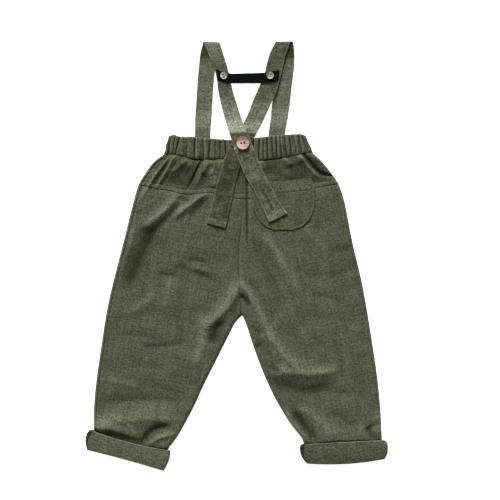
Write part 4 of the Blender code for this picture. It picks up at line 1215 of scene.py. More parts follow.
@dataclass(frozen=True)
class Pocket:
    """The rounded patch pocket, a sheet on the yoke and the leg."""

    columns: int = 84
    rows: int = 64
    top_dip: float = 2.5
    reach: float = 4.0
    smoothing: int = 40
    lean: float = -4.0
    hem: float = 17.0
    hem_raise: float = 0.6
    edge: Lines = (Line(1.2, 1.3, 0.35), Line(3.4, 0.7, -0.25))
    hem_seam: Lines = (Line(hem, 0.8, -0.3),)
    mouth: Lines = (Line(0.0, 9.0, 1.7),)
    dents: Rough = (Dents(0.35, 14.0, 1.0, 11.0), Dents(0.14, 5.0, 1.0, 12.0))
    usual_tone: float = 0.5
    hem_tone: float = 0.14
    # Painted highlight along the rim and painted shade at the stitching.
    painted_edge_light: Lines = (Line(0.0, 1.6, 0.1), Line(3.6, 0.9, -0.12))
    patches: Rough = (Dents(0.06, 18.0, 1.0, 3.0),)
    stitch_in: float = 0.955
    hem_ends: tuple[Pair, ...] = ((19.5, 92.5), (114.0, 97.0))

    def seam_paths(self) -> list[Array]:
        """Plan lines of the stitching round the pocket and along its hem."""
        table = smooth_rows(POCKET_ROWS, 40)
        around = np.vstack([table[:, 0:2], table[::-1, 2:4]])
        return [mix(np.array(POCKET_CENTRE), around, self.stitch_in), np.linspace(*self.hem_ends, 40)]

    def bed(self, surfaces: Surfaces, x: Array, y: Array) -> Array:
        """Smooth height of what lies under the pocket, and nowhere below it.

        Args:
            surfaces: Upper faces of the panels under it.
            x: Plan positions across.
            y: Plan positions along.

        Returns:
            The heights, read at every second point and at the highest neighbour between them.
        """
        bed = np.full(x.shape, np.nan)
        for j, i in np.ndindex(x.shape):
            if (i + j) % 2 == 0:
                bed[j, i] = rest_height(surfaces, x[j, i], y[j, i], self.reach)
        around = np.stack(neighbours(np.pad(bed, 1, constant_values=np.nan)))
        bed = np.where(np.isnan(bed), np.max(np.nan_to_num(around, nan=-1.0), axis=0), bed)
        lowest = bed
        for _ in range(self.smoothing):
            bed = np.maximum(sum(neighbours(np.pad(bed, 1, mode="edge"))) / 4, lowest)
        return bed

    def build(self, surfaces: Surfaces, material: Material) -> Piece:
        """Lay the pocket on what is under it.

        Args:
            surfaces: Upper faces of the panels under it.
            material: Its finish.

        Returns:
            The pocket.
        """
        table = smooth_rows(POCKET_ROWS, self.rows)
        u = np.linspace(0.0, 1.0, self.columns)[None, :]
        v = np.linspace(0.0, 1.0, self.rows)[:, None]
        x = mix(table[:, 0:1], table[:, 2:3], u)
        y = mix(table[:, 1:2], table[:, 3:4], u) - bow(u, self.top_dip) * (1 - smoothstep(v * 3.5))
        outline = np.dstack([x, y])
        outline = np.vstack([outline[:, 0], outline[-1, 1:], outline[::-1, -1][1:]])
        rim = distance_to(outline[::2], x, y)
        below_top = y[:1, :] - y
        relief = lines(rim, self.edge) + lines(below_top, self.hem_seam) + dented(x, y, self.dents)
        relief = relief + self.hem_raise * smoothstep((self.hem - below_top) / 1.2)
        relief = relief + lines(below_top, self.mouth) * np.sin(math.pi * u) ** 0.7
        height = self.bed(surfaces, x, y) + GAP + CLOTH + np.maximum(-0.1, relief)
        # Uneven dye, with a painted highlight along the rim and painted shade at the stitching.
        tone = self.usual_tone + lines(rim, self.painted_edge_light) + dented(x, y, self.patches)
        tone = tone + self.hem_tone * smoothstep((self.hem - below_top) / 5.0)
        mesh = sheet_mesh(np.dstack([x, y, height]), along_threads(np.dstack([x, y]), self.lean), tone)
        return thicken(place_mesh("patch_pocket", mesh, material), CLOTH, round_edge=True)


def neighbours(padded: Array) -> list[Array]:
    """The four neighbours of each place in a grid that has a row and column of padding all round."""
    return [padded[:-2, 1:-1], padded[2:, 1:-1], padded[1:-1, :-2], padded[1:-1, 2:]]


# Straps and elastic -------------------------------------------------------------------------

@dataclass(frozen=True)
class Ribbon:
    """A flat strip that is laid on whatever is under it."""

    thick: float
    control_step: float = 7.0
    control_lanes: int = 3
    step: float = 1.7
    lanes: int = 19
    sag_slope: float = 0.15
    reach: float = 6.5

    def stations(self, rows: Sequence[StrapRow]) -> tuple[Array, Array]:
        """Edge points along a run at even steps, from left and from right."""
        left = smooth_path([(r.left, r.left_y, r.height) for r in rows])
        right = smooth_path([(r.right, r.right_y, r.height) for r in rows])
        share = np.linspace(0.0, 1.0, max(2, round(run_along(left)[-1] / self.control_step)) + 1)
        return at_share(left, share), at_share(right, share)

    def settle(self, rows: Sequence[StrapRow], surfaces: Surfaces) -> Array:
        """Lay a run down: each lane rises before a support and sinks after it.

        Args:
            rows: The run's edges.
            surfaces: Upper faces of what may be under it.

        Returns:
            Points of the strip's middle by lane, station and axis.
        """
        left, right = self.stations(rows)
        tracks = []
        for share in np.linspace(0.0, 1.0, self.control_lanes):
            points = mix(left, right, share)
            tops = np.array([rest_height(surfaces, p[0], p[1], self.reach) for p in points])
            needed = np.where(tops > 0.0, tops + GAP, 0.0) + self.thick / 2
            apart = np.hypot(points[:, None, 0] - points[None, :, 0], points[:, None, 1] - points[None, :, 1])
            points[:, 2] = np.maximum(points[:, 2], (needed[None, :] - self.sag_slope * apart).max(axis=1))
            tracks.append(points)
        return np.array(tracks)

    def refine(self, tracks: Array) -> Array:
        """Even, close points through the control lanes, by station, lane and axis."""
        paths = [smooth_path(track, 8) for track in tracks]
        runs = [run_along(path) for path in paths]
        share = np.linspace(0.0, 1.0, max(4, round(runs[0][-1] / self.step)))
        dense = np.array([[np.interp(share, run / run[-1], axis) for axis in path.T]
                          for path, run in zip(paths, runs)])
        given, lanes = np.linspace(0.0, 1.0, len(tracks)), np.linspace(0.0, 1.0, self.lanes)
        stations = [[np.interp(lanes, given, axis) for axis in station] for station in dense.T]
        return np.array(stations).transpose(0, 2, 1)


@dataclass(frozen=True)
class Strap:
    """A shoulder strap with its front run, shoulder fold, back run and hanging tail."""

    name: str
    groove: bool
    ribbon: Ribbon = Ribbon(STRAP)
    width: float = 25.0
    fold_turn: int = 10
    stitched: Lines = (Line(2.2, 0.7, -0.22),)
    hem: float = 10.5
    hem_raise: float = 0.55
    hem_seam: Lines = (Line(hem, 0.7, -0.2),)
    wrinkles: Rough = (Dents(0.42, 9.0, 1.0, 3.0), Dents(0.252, 3.6, 0.4, 8.0))
    furrow: Lines = (Line(0.0, 1.7, -1.0), Line(4.0, 1.8, 0.6), Line(-4.4, 1.8, 0.5))
    furrow_place: float = 0.45
    furrow_from: Ramps = (Ramp(62.0, 44.0, 1.0),)
    furrow_to: Ramps = (Ramp(hem, hem + 4.0, 1.0),)
    # Painted light that follows the relief: highlight on raised parts and the edges, shade in the furrow and
    # wrinkles.
    wear_and_painted_light: float = 0.17
    stitch_in: float = 0.09

    back_above: float = 3.5
    crossed: float = 150.0
    shown: float = 178.0
    # Painted light where the strap lies off the dark cloth, strongest between the crossing and the elastic
    # band.
    painted_light_from: Ramps = (Ramp(181.5, 183.5, 1.0),)
    palest: float = 0.14
    grooved_painted_light_base: float = 0.15
    pale: Ramps = (Ramp(240.0, 220.0, 0.2), Ramp(204.0, 192.0, 0.37))
    grooved_painted_light: Ramps = (Ramp(280.0, 310.0, 0.2), Ramp(250.0, 205.0, 0.34), Ramp(208.0, 194.0, 0.37))
    # Painted light and shade on the front runs, and painted shade inside the shoulder loops.
    front_tone: float = 0.27
    painted_front_light: Lines = (Line(205.0, 13.0, 0.2), Line(186.0, 6.0, -0.12))
    painted_loop_shade: Ramps = (Ramp(284.0, 312.0, -0.5),)
    # The under strap's tail is drawn darker than the upper one's, a painted shade.
    tail_tone: float = 0.05
    tail_end: Ramps = (Ramp(110.0, 50.0, 0.03),)
    grooved_tail: float = 0.14
    # Painted highlight along a crease of the upper strap's tail, with painted shade beside it.
    creases: Lines = (Line(160.0, 3.0, 0.5), Line(147.0, 7.0, -0.06), Line(128.0, 14.0, 0.1))
    grooved_end: Ramps = (Ramp(78.0, 64.0, 0.08),)
    patches: Rough = (Dents(0.08, 9.0, 1.0, 15.0), Dents(0.09, 3.4, 1.0, 16.0))

    def fold(self, start: Array, end: Array) -> Array:
        """Stations of the half turn that joins the front run's end to the back run's start."""
        outward = np.array([0.0, (end[2] - start[2]) / 2, 0.0])
        angles = math.pi * np.arange(1, self.fold_turn) / self.fold_turn
        middle = start + np.outer((1 - np.cos(angles)) / 2, end - start)
        return middle + np.outer(np.sin(angles), outward)

    def tracks(self, front_surfaces: Surfaces, back_surfaces: Surfaces) -> Array:
        """Control lanes of the whole strap, from its hidden front end to its tail."""
        front_run, back_run = STRAP_RUNS[self.name]
        up = self.ribbon.settle(front_run, front_surfaces)
        down = self.ribbon.settle(back_run, back_surfaces)
        return np.array([np.vstack([a, self.fold(a[-1], b[0]), b]) for a, b in zip(up, down)])

    def relief(self, points: Array) -> Array:
        """Height of the stitched edges, the tail's hem and small wrinkles."""
        run = run_along(points[:, points.shape[1] // 2])[:, None]
        left = run[-1, 0] - run
        across = np.linspace(0.0, self.width, points.shape[1])[None, :]
        wrinkles = [row._replace(seed=row.seed + self.groove) for row in self.wrinkles]
        relief = lines(np.minimum(across, self.width - across), self.stitched)
        relief = relief + dented(*np.broadcast_arrays(run, across), wrinkles)
        relief = relief + self.hem_raise * smoothstep((self.hem - left) / 1.6) + lines(left, self.hem_seam)
        if self.groove:
            depth = ramps(left, self.furrow_from) * ramps(left, self.furrow_to)
            relief = relief + depth * lines(across - self.furrow_place * self.width, self.furrow)
        return relief

    def tone(self, points: Array) -> Array:
        """How light the strap is drawn: painted light where it lies off the dark cloth, strongest between its
        crossing and the elastic band, painted light and shade on the front runs, painted shade inside the
        loops and on the under strap's tail, a painted highlight on a crease, and uneven dye.
        """
        x, y = points[..., 0], points[..., 1]
        # Painted light and shade on the front run, and painted shade inside its loop.
        front = self.front_tone + lines(y, self.painted_front_light) + ramps(y, self.painted_loop_shade)
        if self.groove:
            pale = self.grooved_painted_light_base + ramps(y, self.grooved_painted_light)
            tail = self.grooved_tail + lines(y, self.creases) + ramps(y, self.grooved_end)
        else:
            pale = self.palest + ramps(y, self.pale)
            tail = self.tail_tone + ramps(y, self.tail_end)
        # The painted light reaches only above the waistband's top edge, where the strap lies off the dark
        # cloth.
        pale = pale * ramps(y, self.painted_light_from)
        crossing = (points[..., 2] > self.back_above) & (y > self.crossed)
        tone = np.where(crossing, np.maximum(pale, tail), np.where(y > self.shown, front, tail))
        return tone + dented(x, y, self.patches)

    def build(self, front_surfaces: Surfaces, back_surfaces: Surfaces, material: Material) -> Piece:
        """Lay the strap down, front run first.

        Args:
            front_surfaces: What its front run rests on.
            back_surfaces: What its back run rests on.
            material: Its finish.

        Returns:
            The strap, with the tail's end last.
        """
        points = self.ribbon.refine(self.tracks(front_surfaces, back_surfaces))
        run_way = np.vstack([points[1:], points[-1:]]) - np.vstack([points[:1], points[:-1]])
        normal = np.cross(run_way, (points[:, -1] - points[:, 0])[:, None, :])
        normal /= np.linalg.norm(normal, axis=-1, keepdims=True)
        tail = normal[-1, normal.shape[1] // 2]
        normal = normal if tail[2] > 0.0 else -normal
        relief = self.relief(points)
        outer = points + normal * (STRAP / 2 + relief)[..., None]
        outer[..., 2] = np.maximum(outer[..., 2], np.where(normal[..., 2] > 0.0, STRAP, 0.0))
        across = np.linspace(0.0, self.width, points.shape[1])[None, :]
        weave = np.stack(np.broadcast_arrays(across, run_along(points[:, 0])[:, None]), axis=-1) * MM
        edges = bell(np.minimum(across, self.width - across), 0.0, 1.3)
        # Painted shade in the furrow and wrinkles and painted highlight on raised relief and along the edges.
        mesh = sheet_mesh(outer, weave, self.tone(points) + self.wear_and_painted_light * (relief + edges))
        self.face_out(mesh, outer, normal)
        return thicken(place_mesh(self.name + "_cloth", mesh, material), STRAP, round_edge=True)

    def face_out(self, mesh: BMesh, outer: Array, normal: Array) -> None:
        """Turn the sheet so that its faces look the way of the outer side."""
        end = Vector(outer[-2, outer.shape[1] // 2])
        want = Vector(normal[-2, normal.shape[1] // 2])
        nearest = min(mesh.faces, key=lambda face: (face.calc_center_median() - end).length)
        if nearest.normal.dot(want) < 0.0:
            bmesh.ops.reverse_faces(mesh, faces=mesh.faces[:])

    def seam_paths(self) -> list[Array]:
        """Plan lines of the topstitching near both edges of the back run."""
        back = STRAP_RUNS[self.name][1]
        left = smooth_path([(r.left, r.left_y) for r in back])
        right = smooth_path([(r.right, r.right_y) for r in back])
        return [mix(left, right, self.stitch_in), mix(right, left, self.stitch_in)]


@dataclass(frozen=True)
class ElasticBand:
    """The ribbed black elastic between the straps."""

    ribbon: Ribbon = Ribbon(ELASTIC, control_lanes=2, lanes=31, step=1.6)
    width: float = 15.0
    rib_pitch: float = 1.5
    rib_height: float = 0.16
    selvedge: Lines = (Line(0.0, 0.5, -0.3),)

    def build(self, surfaces: Surfaces, material: Material) -> Piece:
        """Lay the band across both straps."""
        points = self.ribbon.refine(self.ribbon.settle(CROSS_BAND, surfaces))
        across = np.linspace(0.0, self.width, points.shape[1])[None, :]
        ribs = self.rib_height * np.cos(math.tau * across / self.rib_pitch)
        points[..., 2] += ELASTIC / 2 + ribs + lines(np.minimum(across, self.width - across), self.selvedge)
        run = run_along(points[:, 0])[:, None]
        weave = np.stack(np.broadcast_arrays(across, run), axis=-1) * MM
        return thicken(place_mesh("elastic_band", sheet_mesh(points, weave), material), ELASTIC)


# Buttons ------------------------------------------------------------------------------------

@dataclass(frozen=True)
class Button:
    """A turned wooden button with a raised rim, two holes and the thread that holds it."""

    name: str
    x: float
    y: float
    radius: float
    thick: float
    hole: float
    spread: float
    turn: float
    rim: float = 1.0
    dish: float = 0.5
    sides: int = 72
    hole_sides: int = 28
    thread_sides: int = 16
    thread_share: float = 0.8
    thread_low: float = 0.8
    thread_short: float = 1.8

    def base(self, surfaces: Surfaces) -> float:
        """Height at which the button rests, in millimetres."""
        return rest_height(surfaces, self.x, self.y, self.radius) + GAP

    def profile(self) -> list[Pair]:
        """Radius and height of each turn of the lathe's cut, from under the middle to over it."""
        r, t, rim, dish = self.radius, self.thick, self.rim, self.dish
        under = [(0.0, 0.0), (0.6 * r, 0.0), (r - rim, 0.0), (r - 0.4 * rim, 0.12 * rim)]
        edge = [(r, 0.55 * rim), (r, t - 0.8 * rim), (r - 0.25 * rim, t - 0.25 * rim), (r - 0.7 * rim, t)]
        slope = [(r - 1.3 * rim, t - 0.02), (r - 1.8 * rim, t - 0.55 * dish), (0.62 * r, t - 0.95 * dish)]
        return under + edge + slope + [(0.35 * r, t - dish), (0.0, t - dish)]

    def build(self, base: float, material: Material) -> Piece:
        """Spin the button's profile, with its holes cut through.

        Args:
            base: Height of its underside.
            material: Its finish.

        Returns:
            The button.
        """
        mesh = bmesh.new()
        verts = [mesh.verts.new((radius, 0.0, height)) for radius, height in self.profile()]
        edges = [mesh.edges.new(pair) for pair in zip(verts, verts[1:])]
        bmesh.ops.spin(mesh, geom=verts + edges, cent=(0, 0, 0), axis=(0, 0, 1), angle=math.tau,
                       steps=self.sides, use_merge=True)
        bmesh.ops.remove_doubles(mesh, verts=mesh.verts[:], dist=0.001)
        bmesh.ops.recalc_face_normals(mesh, faces=mesh.faces[:])
        bmesh.ops.translate(mesh, vec=(self.x, self.y, base), verts=mesh.verts[:])
        piece = place_mesh(self.name + "_wood", mesh, material)
        piece.item.data.set_sharp_from_angle(angle=math.radians(50.0))
        self.cut_holes(piece, base)
        return piece

    def pins(self, middle: float, radius: float, depth: float, sides: int) -> BMesh:
        """Upright pins through both holes.

        Args:
            middle: Height of their middle.
            radius: Their radius.
            depth: Their whole length.
            sides: How many sides they have.

        Returns:
            Both pins as a bmesh.
        """
        turn = math.radians(self.turn)
        way = Vector((math.cos(turn), math.sin(turn), 0.0))
        mesh = bmesh.new()
        for side in (-1, 1):
            place = Vector((self.x, self.y, middle)) + way * self.spread * side
            bmesh.ops.create_cone(mesh, cap_ends=True, segments=sides, radius1=radius, radius2=radius,
                                  depth=depth, matrix=Matrix.Translation(place))
        return mesh

    def cut_holes(self, piece: Piece, base: float) -> None:
        """Cut both holes with upright pins, and apply the cut."""
        mesh = self.pins(base + self.thick / 2, self.hole, self.thick + 4.0, self.hole_sides)
        cutter = place_mesh(self.name + "_pins", mesh, piece.item.data.materials[0])
        cut = piece.item.modifiers.new("holes", "BOOLEAN")
        cut.operation = "DIFFERENCE"
        cut.solver = "EXACT"
        cut.object = cutter.item
        graph = bpy.context.evaluated_depsgraph_get()
        data = bpy.data.meshes.new_from_object(piece.item.evaluated_get(graph))
        piece.item.modifiers.remove(cut)
        piece.item.data = data
        bpy.data.objects.remove(cutter.item, do_unlink=True)

    def thread(self, base: float, material: Material) -> Piece:
        """The dark thread that fills both holes, sunk under the button's face."""
        mesh = self.pins(base + self.thick / 2 - self.thread_low, self.thread_share * self.hole,
                         self.thick - self.thread_short, self.thread_sides)
        return place_mesh(self.name + "_thread", mesh, material)


BUTTONS = (
    Button("button_waist", 10.4, 167.1, 10.5, 3.0, 1.5, 2.35, 15.0, rim=1.2),
    Button("button_band_left", -18.0, 268.0, 5.75, 2.2, 1.0, 1.7, -60.0, rim=0.8, dish=0.4),
    Button("button_band_right", 51.0, 268.2, 5.75, 2.2, 1.0, 1.7, 68.0, rim=0.8, dish=0.4),
)


# Stitching ----------------------------------------------------------------------------------

@dataclass(frozen=True)
class StitchRow:
    """A row of machine stitches along a line that lies on the cloth."""

    pitch: float = 2.7
    length: float = 2.1
    width: float = 0.42
    sink: float = 0.02
    reach: float = 0.4
    shortest: float = 0.2
    steepest: float = 1.5

    def add(self, mesh: BMesh, path: Array, surfaces: Surfaces) -> None:
        """Add the row's stitches to a bmesh, but none where the cloth drops steeply.

        Args:
            mesh: The bmesh, in the drawing's millimetres.
            path: Plan points of the line.
            surfaces: What the row lies on.
        """
        total = run_along(path[:, :2])[-1]
        count = max(1, round(total / self.pitch))
        shape = Matrix.Diagonal((self.length / 2, self.width / 2, self.width / 2, 1.0))
        for place in (np.arange(count) + 0.5) / count:
            ends = [at_share(path, place + way * self.reach * self.length / total) for way in (-1, 1)]
            start, end = (Vector((x, y, top_at(surfaces, x, y))) for x, y in ends)
            run = end - start
            if run.length < self.shortest * self.length or abs(run.z) > self.steepest:
                continue
            turn = run.to_track_quat("X", "Z").to_matrix().to_4x4()
            middle = (start + end) / 2 + Vector((0.0, 0.0, self.sink))
            bmesh.ops.create_icosphere(mesh, subdivisions=1, radius=1.0,
                                       matrix=Matrix.Translation(middle) @ turn @ shape)


def offset_path(path: Array, amount: float) -> Array:
    """Move a plan path sideways, to its left for a positive amount."""
    run = np.gradient(path[:, :2], axis=0)
    run /= np.linalg.norm(run, axis=1, keepdims=True)
    return path[:, :2] + amount * np.column_stack([-run[:, 1], run[:, 0]])


# Materials ----------------------------------------------------------------------------------

class Nodes:
    """A short way to add and join the nodes of one tree."""

    def __init__(self, tree: bpy.types.NodeTree) -> None:
        """Work on the given tree."""
        self.tree = tree

    def add(self, kind: str, settings: Optional[dict[str, object]] = None, **inputs: object) -> Node:
        """Add a shader node.

        Args:
            kind: Its Blender type, without ShaderNode in front.
            settings: Its own properties, by name.
            **inputs: Values or output sockets for its inputs, by name, with _ for a space.

        Returns:
            The node.
        """
        node = self.tree.nodes.new("ShaderNode" + kind)
        for key, value in (settings or {}).items():
            setattr(node, key, value)
        self.fill(node, **inputs)
        return node

    def fill(self, node: Node, **inputs: object) -> None:
        """Feed a node's inputs, given by name with _ for a space."""
        for key, value in inputs.items():
            self.feed(node.inputs[key.replace("_", " ")], value)

    def feed(self, socket: Socket, value: object) -> None:
        """Join an output to a socket, or set the socket's own value."""
        if isinstance(value, Socket):
            self.tree.links.new(value, socket)
        else:
            socket.default_value = value

    def maths(self, operation: str, a: object, b: object = 0.0, clamp: bool = False) -> Socket:
        """Add a Math node and return its output."""
        node = self.add("Math", {"operation": operation, "use_clamp": clamp})
        self.feed(node.inputs[0], a)
        self.feed(node.inputs[1], b)
        return node.outputs[0]

    def plus(self, first: object, *others: object) -> Socket:
        """Add values up, from left to right."""
        for other in others:
            first = self.maths("ADD", first, other)
        return first

    def minus(self, a: object, b: object) -> Socket:
        """Take b from a."""
        return self.maths("SUBTRACT", a, b)

    def times(self, a: object, b: object) -> Socket:
        """Multiply a by b."""
        return self.maths("MULTIPLY", a, b)

    def wave(self, value: object, turns: object) -> Socket:
        """The sine of a value times turns."""
        return self.maths("SINE", self.times(value, turns))

    def blend(self, share: object, a: object, b: object, way: str = "MIX") -> Socket:
        """Add a colour Mix node and return its output."""
        node = self.add("Mix", {"data_type": "RGBA", "blend_type": way}, Factor=share)
        self.feed(node.inputs[6], a)
        self.feed(node.inputs[7], b)
        return node.outputs[2]

    def speckle(self, vector: object, scale: Triple, detail: float = 2.0,
                roughness: float = 0.5) -> Socket:
        """Noise with one cell a unit of the scaled vector."""
        scaled = self.add("Mapping", Vector=vector, Scale=scale).outputs[0]
        return self.add("TexNoise", Vector=scaled, Scale=1.0, Detail=detail, Roughness=roughness).outputs[0]

    def band(self, value: object, low: float, high: float) -> Socket:
        """Ease a value from 0 at low to 1 at high."""
        eased = {"interpolation_type": "SMOOTHSTEP"}
        return self.add("MapRange", eased, Value=value, From_Min=low, From_Max=high).outputs[0]

    def axes(self, vector: object) -> Sequence[Socket]:
        """The three parts of a vector."""
        return self.add("SeparateXYZ", Vector=vector).outputs

    def relief(self, shader: Node, height: Socket, depth: float) -> None:
        """Feed a height to a shader's normal, as a relief of the given depth in metres."""
        node = self.add("Bump", Strength=1.0, Distance=depth, Height=height)
        self.fill(shader, Normal=node.outputs[0])


class GroupBase:
    """A shader node group, built once and placed in each material with its own values."""

    title = "group"
    takes: tuple[tuple[str, str, object], ...] = ()
    gives: tuple[tuple[str, str], ...] = ()

    def __init__(self) -> None:
        """Build the group's tree."""
        self.tree = bpy.data.node_groups.new(self.title, "ShaderNodeTree")
        for name, kind, usual in self.takes:
            socket = self.socket(name, "INPUT", kind)
            if usual is not None:
                socket.default_value = usual
        for name, kind in self.gives:
            self.socket(name, "OUTPUT", kind)
        into = self.tree.nodes.new("NodeGroupInput")
        out = self.tree.nodes.new("NodeGroupOutput")
        nodes = Nodes(self.tree)
        nodes.fill(out, **self.build(nodes, into.outputs))

    def socket(self, name: str, way: str, kind: str) -> bpy.types.NodeTreeInterfaceSocket:
        """Declare a socket of the group."""
        return self.tree.interface.new_socket(name=name, in_out=way, socket_type="NodeSocket" + kind)

    def build(self, n: Nodes, given: Outputs) -> dict[str, Socket]:
        """Add the group's nodes.

        Args:
            n: Where the nodes go.
            given: The group's inputs.

        Returns:
            What goes to each of the group's outputs.
        """
        return {}

    def place(self, nodes: Nodes, **inputs: object) -> Outputs:
        """Put the group into a material's tree, and return its outputs."""
        return nodes.add("Group", {"node_tree": self.tree}, **inputs).outputs


class SlubWeave(GroupBase):
    """Plain linen weave with uneven yarns, slubs both ways, and cloudy dye, made lighter or darker by a tone
    that also carries painted shade and highlights.
    """

    title = "slub weave"
    takes = (("Threads", "Vector", None), ("Colour", "Color", (0.1, 0.1, 0.07, 1.0)),
             ("Pale", "Color", (0.2, 0.2, 0.15, 1.0)), ("Slubs", "Float", 0.5), ("Pitch", "Float", 0.0009),
             ("Tone", "Float", 0.5))
    gives = (("Colour", "Color"), ("Height", "Float"), ("Roughness", "Float"))
    deepest = (0.4, 0.4, 0.38, 1.0)
    palest = (0.88, 0.88, 0.86, 1.0)
    lift = (1.28, 1.28, 1.29, 1.0)

    def build(self, n: Nodes, given: Outputs) -> dict[str, Socket]:
        """Add yarn streaks, slubs, the over-and-under of the threads and the cloudy dye."""
        threads = given["Threads"]
        yarns = n.plus(n.speckle(threads, (520.0, 120.0, 1.0), 2.0, 0.6),
                       n.speckle(threads, (150.0, 520.0, 1.0), 2.0, 0.6))
        streaks = n.plus(n.speckle(threads, (330.0, 9.0, 2.0), 1.0),
                         n.speckle(threads, (14.0, 380.0, 4.0), 1.0))
        grain = n.speckle(threads, (430.0, 430.0, 7.0), 2.0, 0.7)
        warp_slub = n.band(n.speckle(threads, (430.0, 60.0, 3.0), 1.0), 0.62, 0.74)
        weft_slub = n.band(n.speckle(threads, (66.0, 450.0, 5.0), 1.0), 0.61, 0.73)
        slubs = n.maths("MAXIMUM", warp_slub, weft_slub)
        cloud = n.speckle(threads, (46.0, 40.0, 1.0), 3.0, 0.6)
        yarn = n.plus(n.times(n.minus(yarns, 1.0), 2.2), n.times(n.minus(streaks, 1.0), 1.5),
                      n.times(n.minus(grain, 0.5), 7.0), n.times(slubs, given["Slubs"]),
                      n.times(n.minus(cloud, 0.5), 1.3))
        share = n.maths("ADD", n.times(yarn, 0.5), 0.46, clamp=True)
        tone = n.maths("MULTIPLY", given["Tone"], 2 / 3, clamp=True)
        dye = n.blend(tone, given["Colour"], given["Pale"])
        deep = n.blend(1.0, dye, self.deepest, "MULTIPLY")
        colour = n.blend(share, deep, n.blend(1.0, dye, self.palest, "DIVIDE"))
        turns = n.maths("DIVIDE", math.tau, given["Pitch"])
        across, along, _ = n.axes(threads)
        over = n.times(n.wave(across, turns), n.wave(along, turns))
        return {"Colour": n.blend(1.0, colour, self.lift, "MULTIPLY"),
                "Height": n.plus(n.times(over, 0.14), n.times(yarns, 0.55), n.times(slubs, 0.4)),
                "Roughness": n.minus(0.96, n.times(share, 0.1))}


class EdgeWearAndHighlight(GroupBase):
    """Paler ridges, from how much the surface bends outwards: abrasion of the cloth and a painted highlight
    together.
    """

    title = "edge wear"
    takes = (("Colour", "Color", (0.1, 0.1, 0.07, 1.0)), ("Worn", "Color", (0.2, 0.2, 0.15, 1.0)),
             ("Amount", "Float", 0.4))
    gives = (("Colour", "Color"),)

    def build(self, n: Nodes, given: Outputs) -> dict[str, Socket]:
        """Mix a paler colour in where the surface is a ridge."""
        ridge = n.band(n.add("NewGeometry").outputs["Pointiness"], 0.505, 0.56)
        return {"Colour": n.blend(n.times(ridge, given["Amount"]), given["Colour"], given["Worn"])}


class WoodGrain(GroupBase):
    """Wavy growth lines of turned wood, with broad light and dark bands."""

    title = "wood grain"
    takes = (("Place", "Vector", None), ("Light", "Color", (0.7, 0.5, 0.4, 1.0)),
             ("Dark", "Color", (0.3, 0.2, 0.15, 1.0)), ("Streak", "Color", (0.6, 0.3, 0.2, 1.0)))
    gives = (("Colour", "Color"), ("Height", "Float"))

    def build(self, n: Nodes, given: Outputs) -> dict[str, Socket]:
        """Add broad bands, fine lines and pores."""
        place = given["Place"]
        dark = n.band(n.speckle(place, (38.0, 330.0, 60.0), 1.5, 0.5), 0.53, 0.68)
        streak = n.band(n.speckle(place, (46.0, 420.0, 90.0), 1.0), 0.5, 0.64)
        fine = n.speckle(place, (120.0, 2600.0, 300.0), 2.0, 0.6)
        pores = n.band(n.speckle(place, (700.0, 5200.0, 900.0), 1.0), 0.62, 0.72)
        colour = n.blend(n.times(streak, 0.75), given["Light"], given["Streak"])
        for mask, share in ((dark, 0.8), (n.band(fine, 0.45, 0.7), 0.25), (pores, 0.35)):
            colour = n.blend(n.times(mask, share), colour, given["Dark"])
        return {"Colour": colour, "Height": n.minus(n.times(fine, 0.4), pores)}


def opaque(colour: Iterable[float]) -> tuple[float, ...]:
    """A colour with full alpha, as a colour socket wants it."""
    return (*colour, 1.0)


def new_material(name: str) -> tuple[Material, Nodes, Node]:
    """Start a material, and return it with its nodes and its Principled shader."""
    material = bpy.data.materials.new(name)
    material.use_nodes = True
    return material, Nodes(material.node_tree), material.node_tree.nodes["Principled BSDF"]


@dataclass(frozen=True)
class LinenFinish:
    """Matte slub linen in one shade."""

    name: str
    colour: Colour
    pale: Colour
    slubs: float = 0.45
    worn_and_lit: float = 0.12
    worn_and_lit_share: float = 0.7
    relief: float = 0.00032
    sheen: float = 0.08

    def make(self, weave: SlubWeave, wear_and_highlight: EdgeWearAndHighlight) -> Material:
        """Build the material on the shared weave and ridge lightening."""
        material, n, shader = new_material(self.name)
        threads = n.add("UVMap", {"uv_map": "weave"}).outputs[0]
        tone = n.add("Attribute", {"attribute_name": "tone"}).outputs["Fac"]
        cloth = weave.place(n, Threads=threads, Colour=opaque(self.colour), Pale=opaque(self.pale),
                            Slubs=self.slubs, Tone=tone)
        # Ridges are drawn paler, abrasion and painted highlight together, more so where the tone is light.
        worn_and_lit = opaque(self.worn_and_lit_share * part for part in self.pale)
        wear_and_painted_light = wear_and_highlight.place(n, Colour=cloth["Colour"], Worn=worn_and_lit, Amount=n.times(tone, 2.0 * self.worn_and_lit))
        n.relief(shader, cloth["Height"], self.relief)
        n.fill(shader, Base_Color=wear_and_painted_light["Colour"], Roughness=cloth["Roughness"], Specular_IOR_Level=0.2,
               Sheen_Weight=self.sheen, Sheen_Roughness=0.6, Sheen_Tint=(0.8, 0.85, 0.7, 1.0))
        return material


@dataclass(frozen=True)
class ElasticFinish:
    """Black ribbed elastic with a dull sheen."""

    name: str = "black elastic"
    colour: Colour = (0.0018, 0.0021, 0.0029)
    pale: Colour = (0.0052, 0.006, 0.0078)
    pitch: float = 0.0011
    relief: float = 0.00012

    def make(self) -> Material:
        """Build the material: ribs lengthwise, with threads bound across them."""
        material, n, shader = new_material(self.name)
        threads = n.add("UVMap", {"uv_map": "weave"}).outputs[0]
        bound = n.wave(n.axes(threads)[1], math.tau / self.pitch)
        fuzz = n.speckle(threads, (2400.0, 900.0, 1.0))
        share = n.maths("ADD", n.times(bound, 0.2), n.minus(fuzz, 0.15), clamp=True)
        n.relief(shader, n.plus(bound, fuzz), self.relief)
        n.fill(shader, Base_Color=n.blend(share, opaque(self.colour), opaque(self.pale)),
               Roughness=n.minus(0.95, n.times(fuzz, 0.2)), Specular_IOR_Level=0.08)
        return material


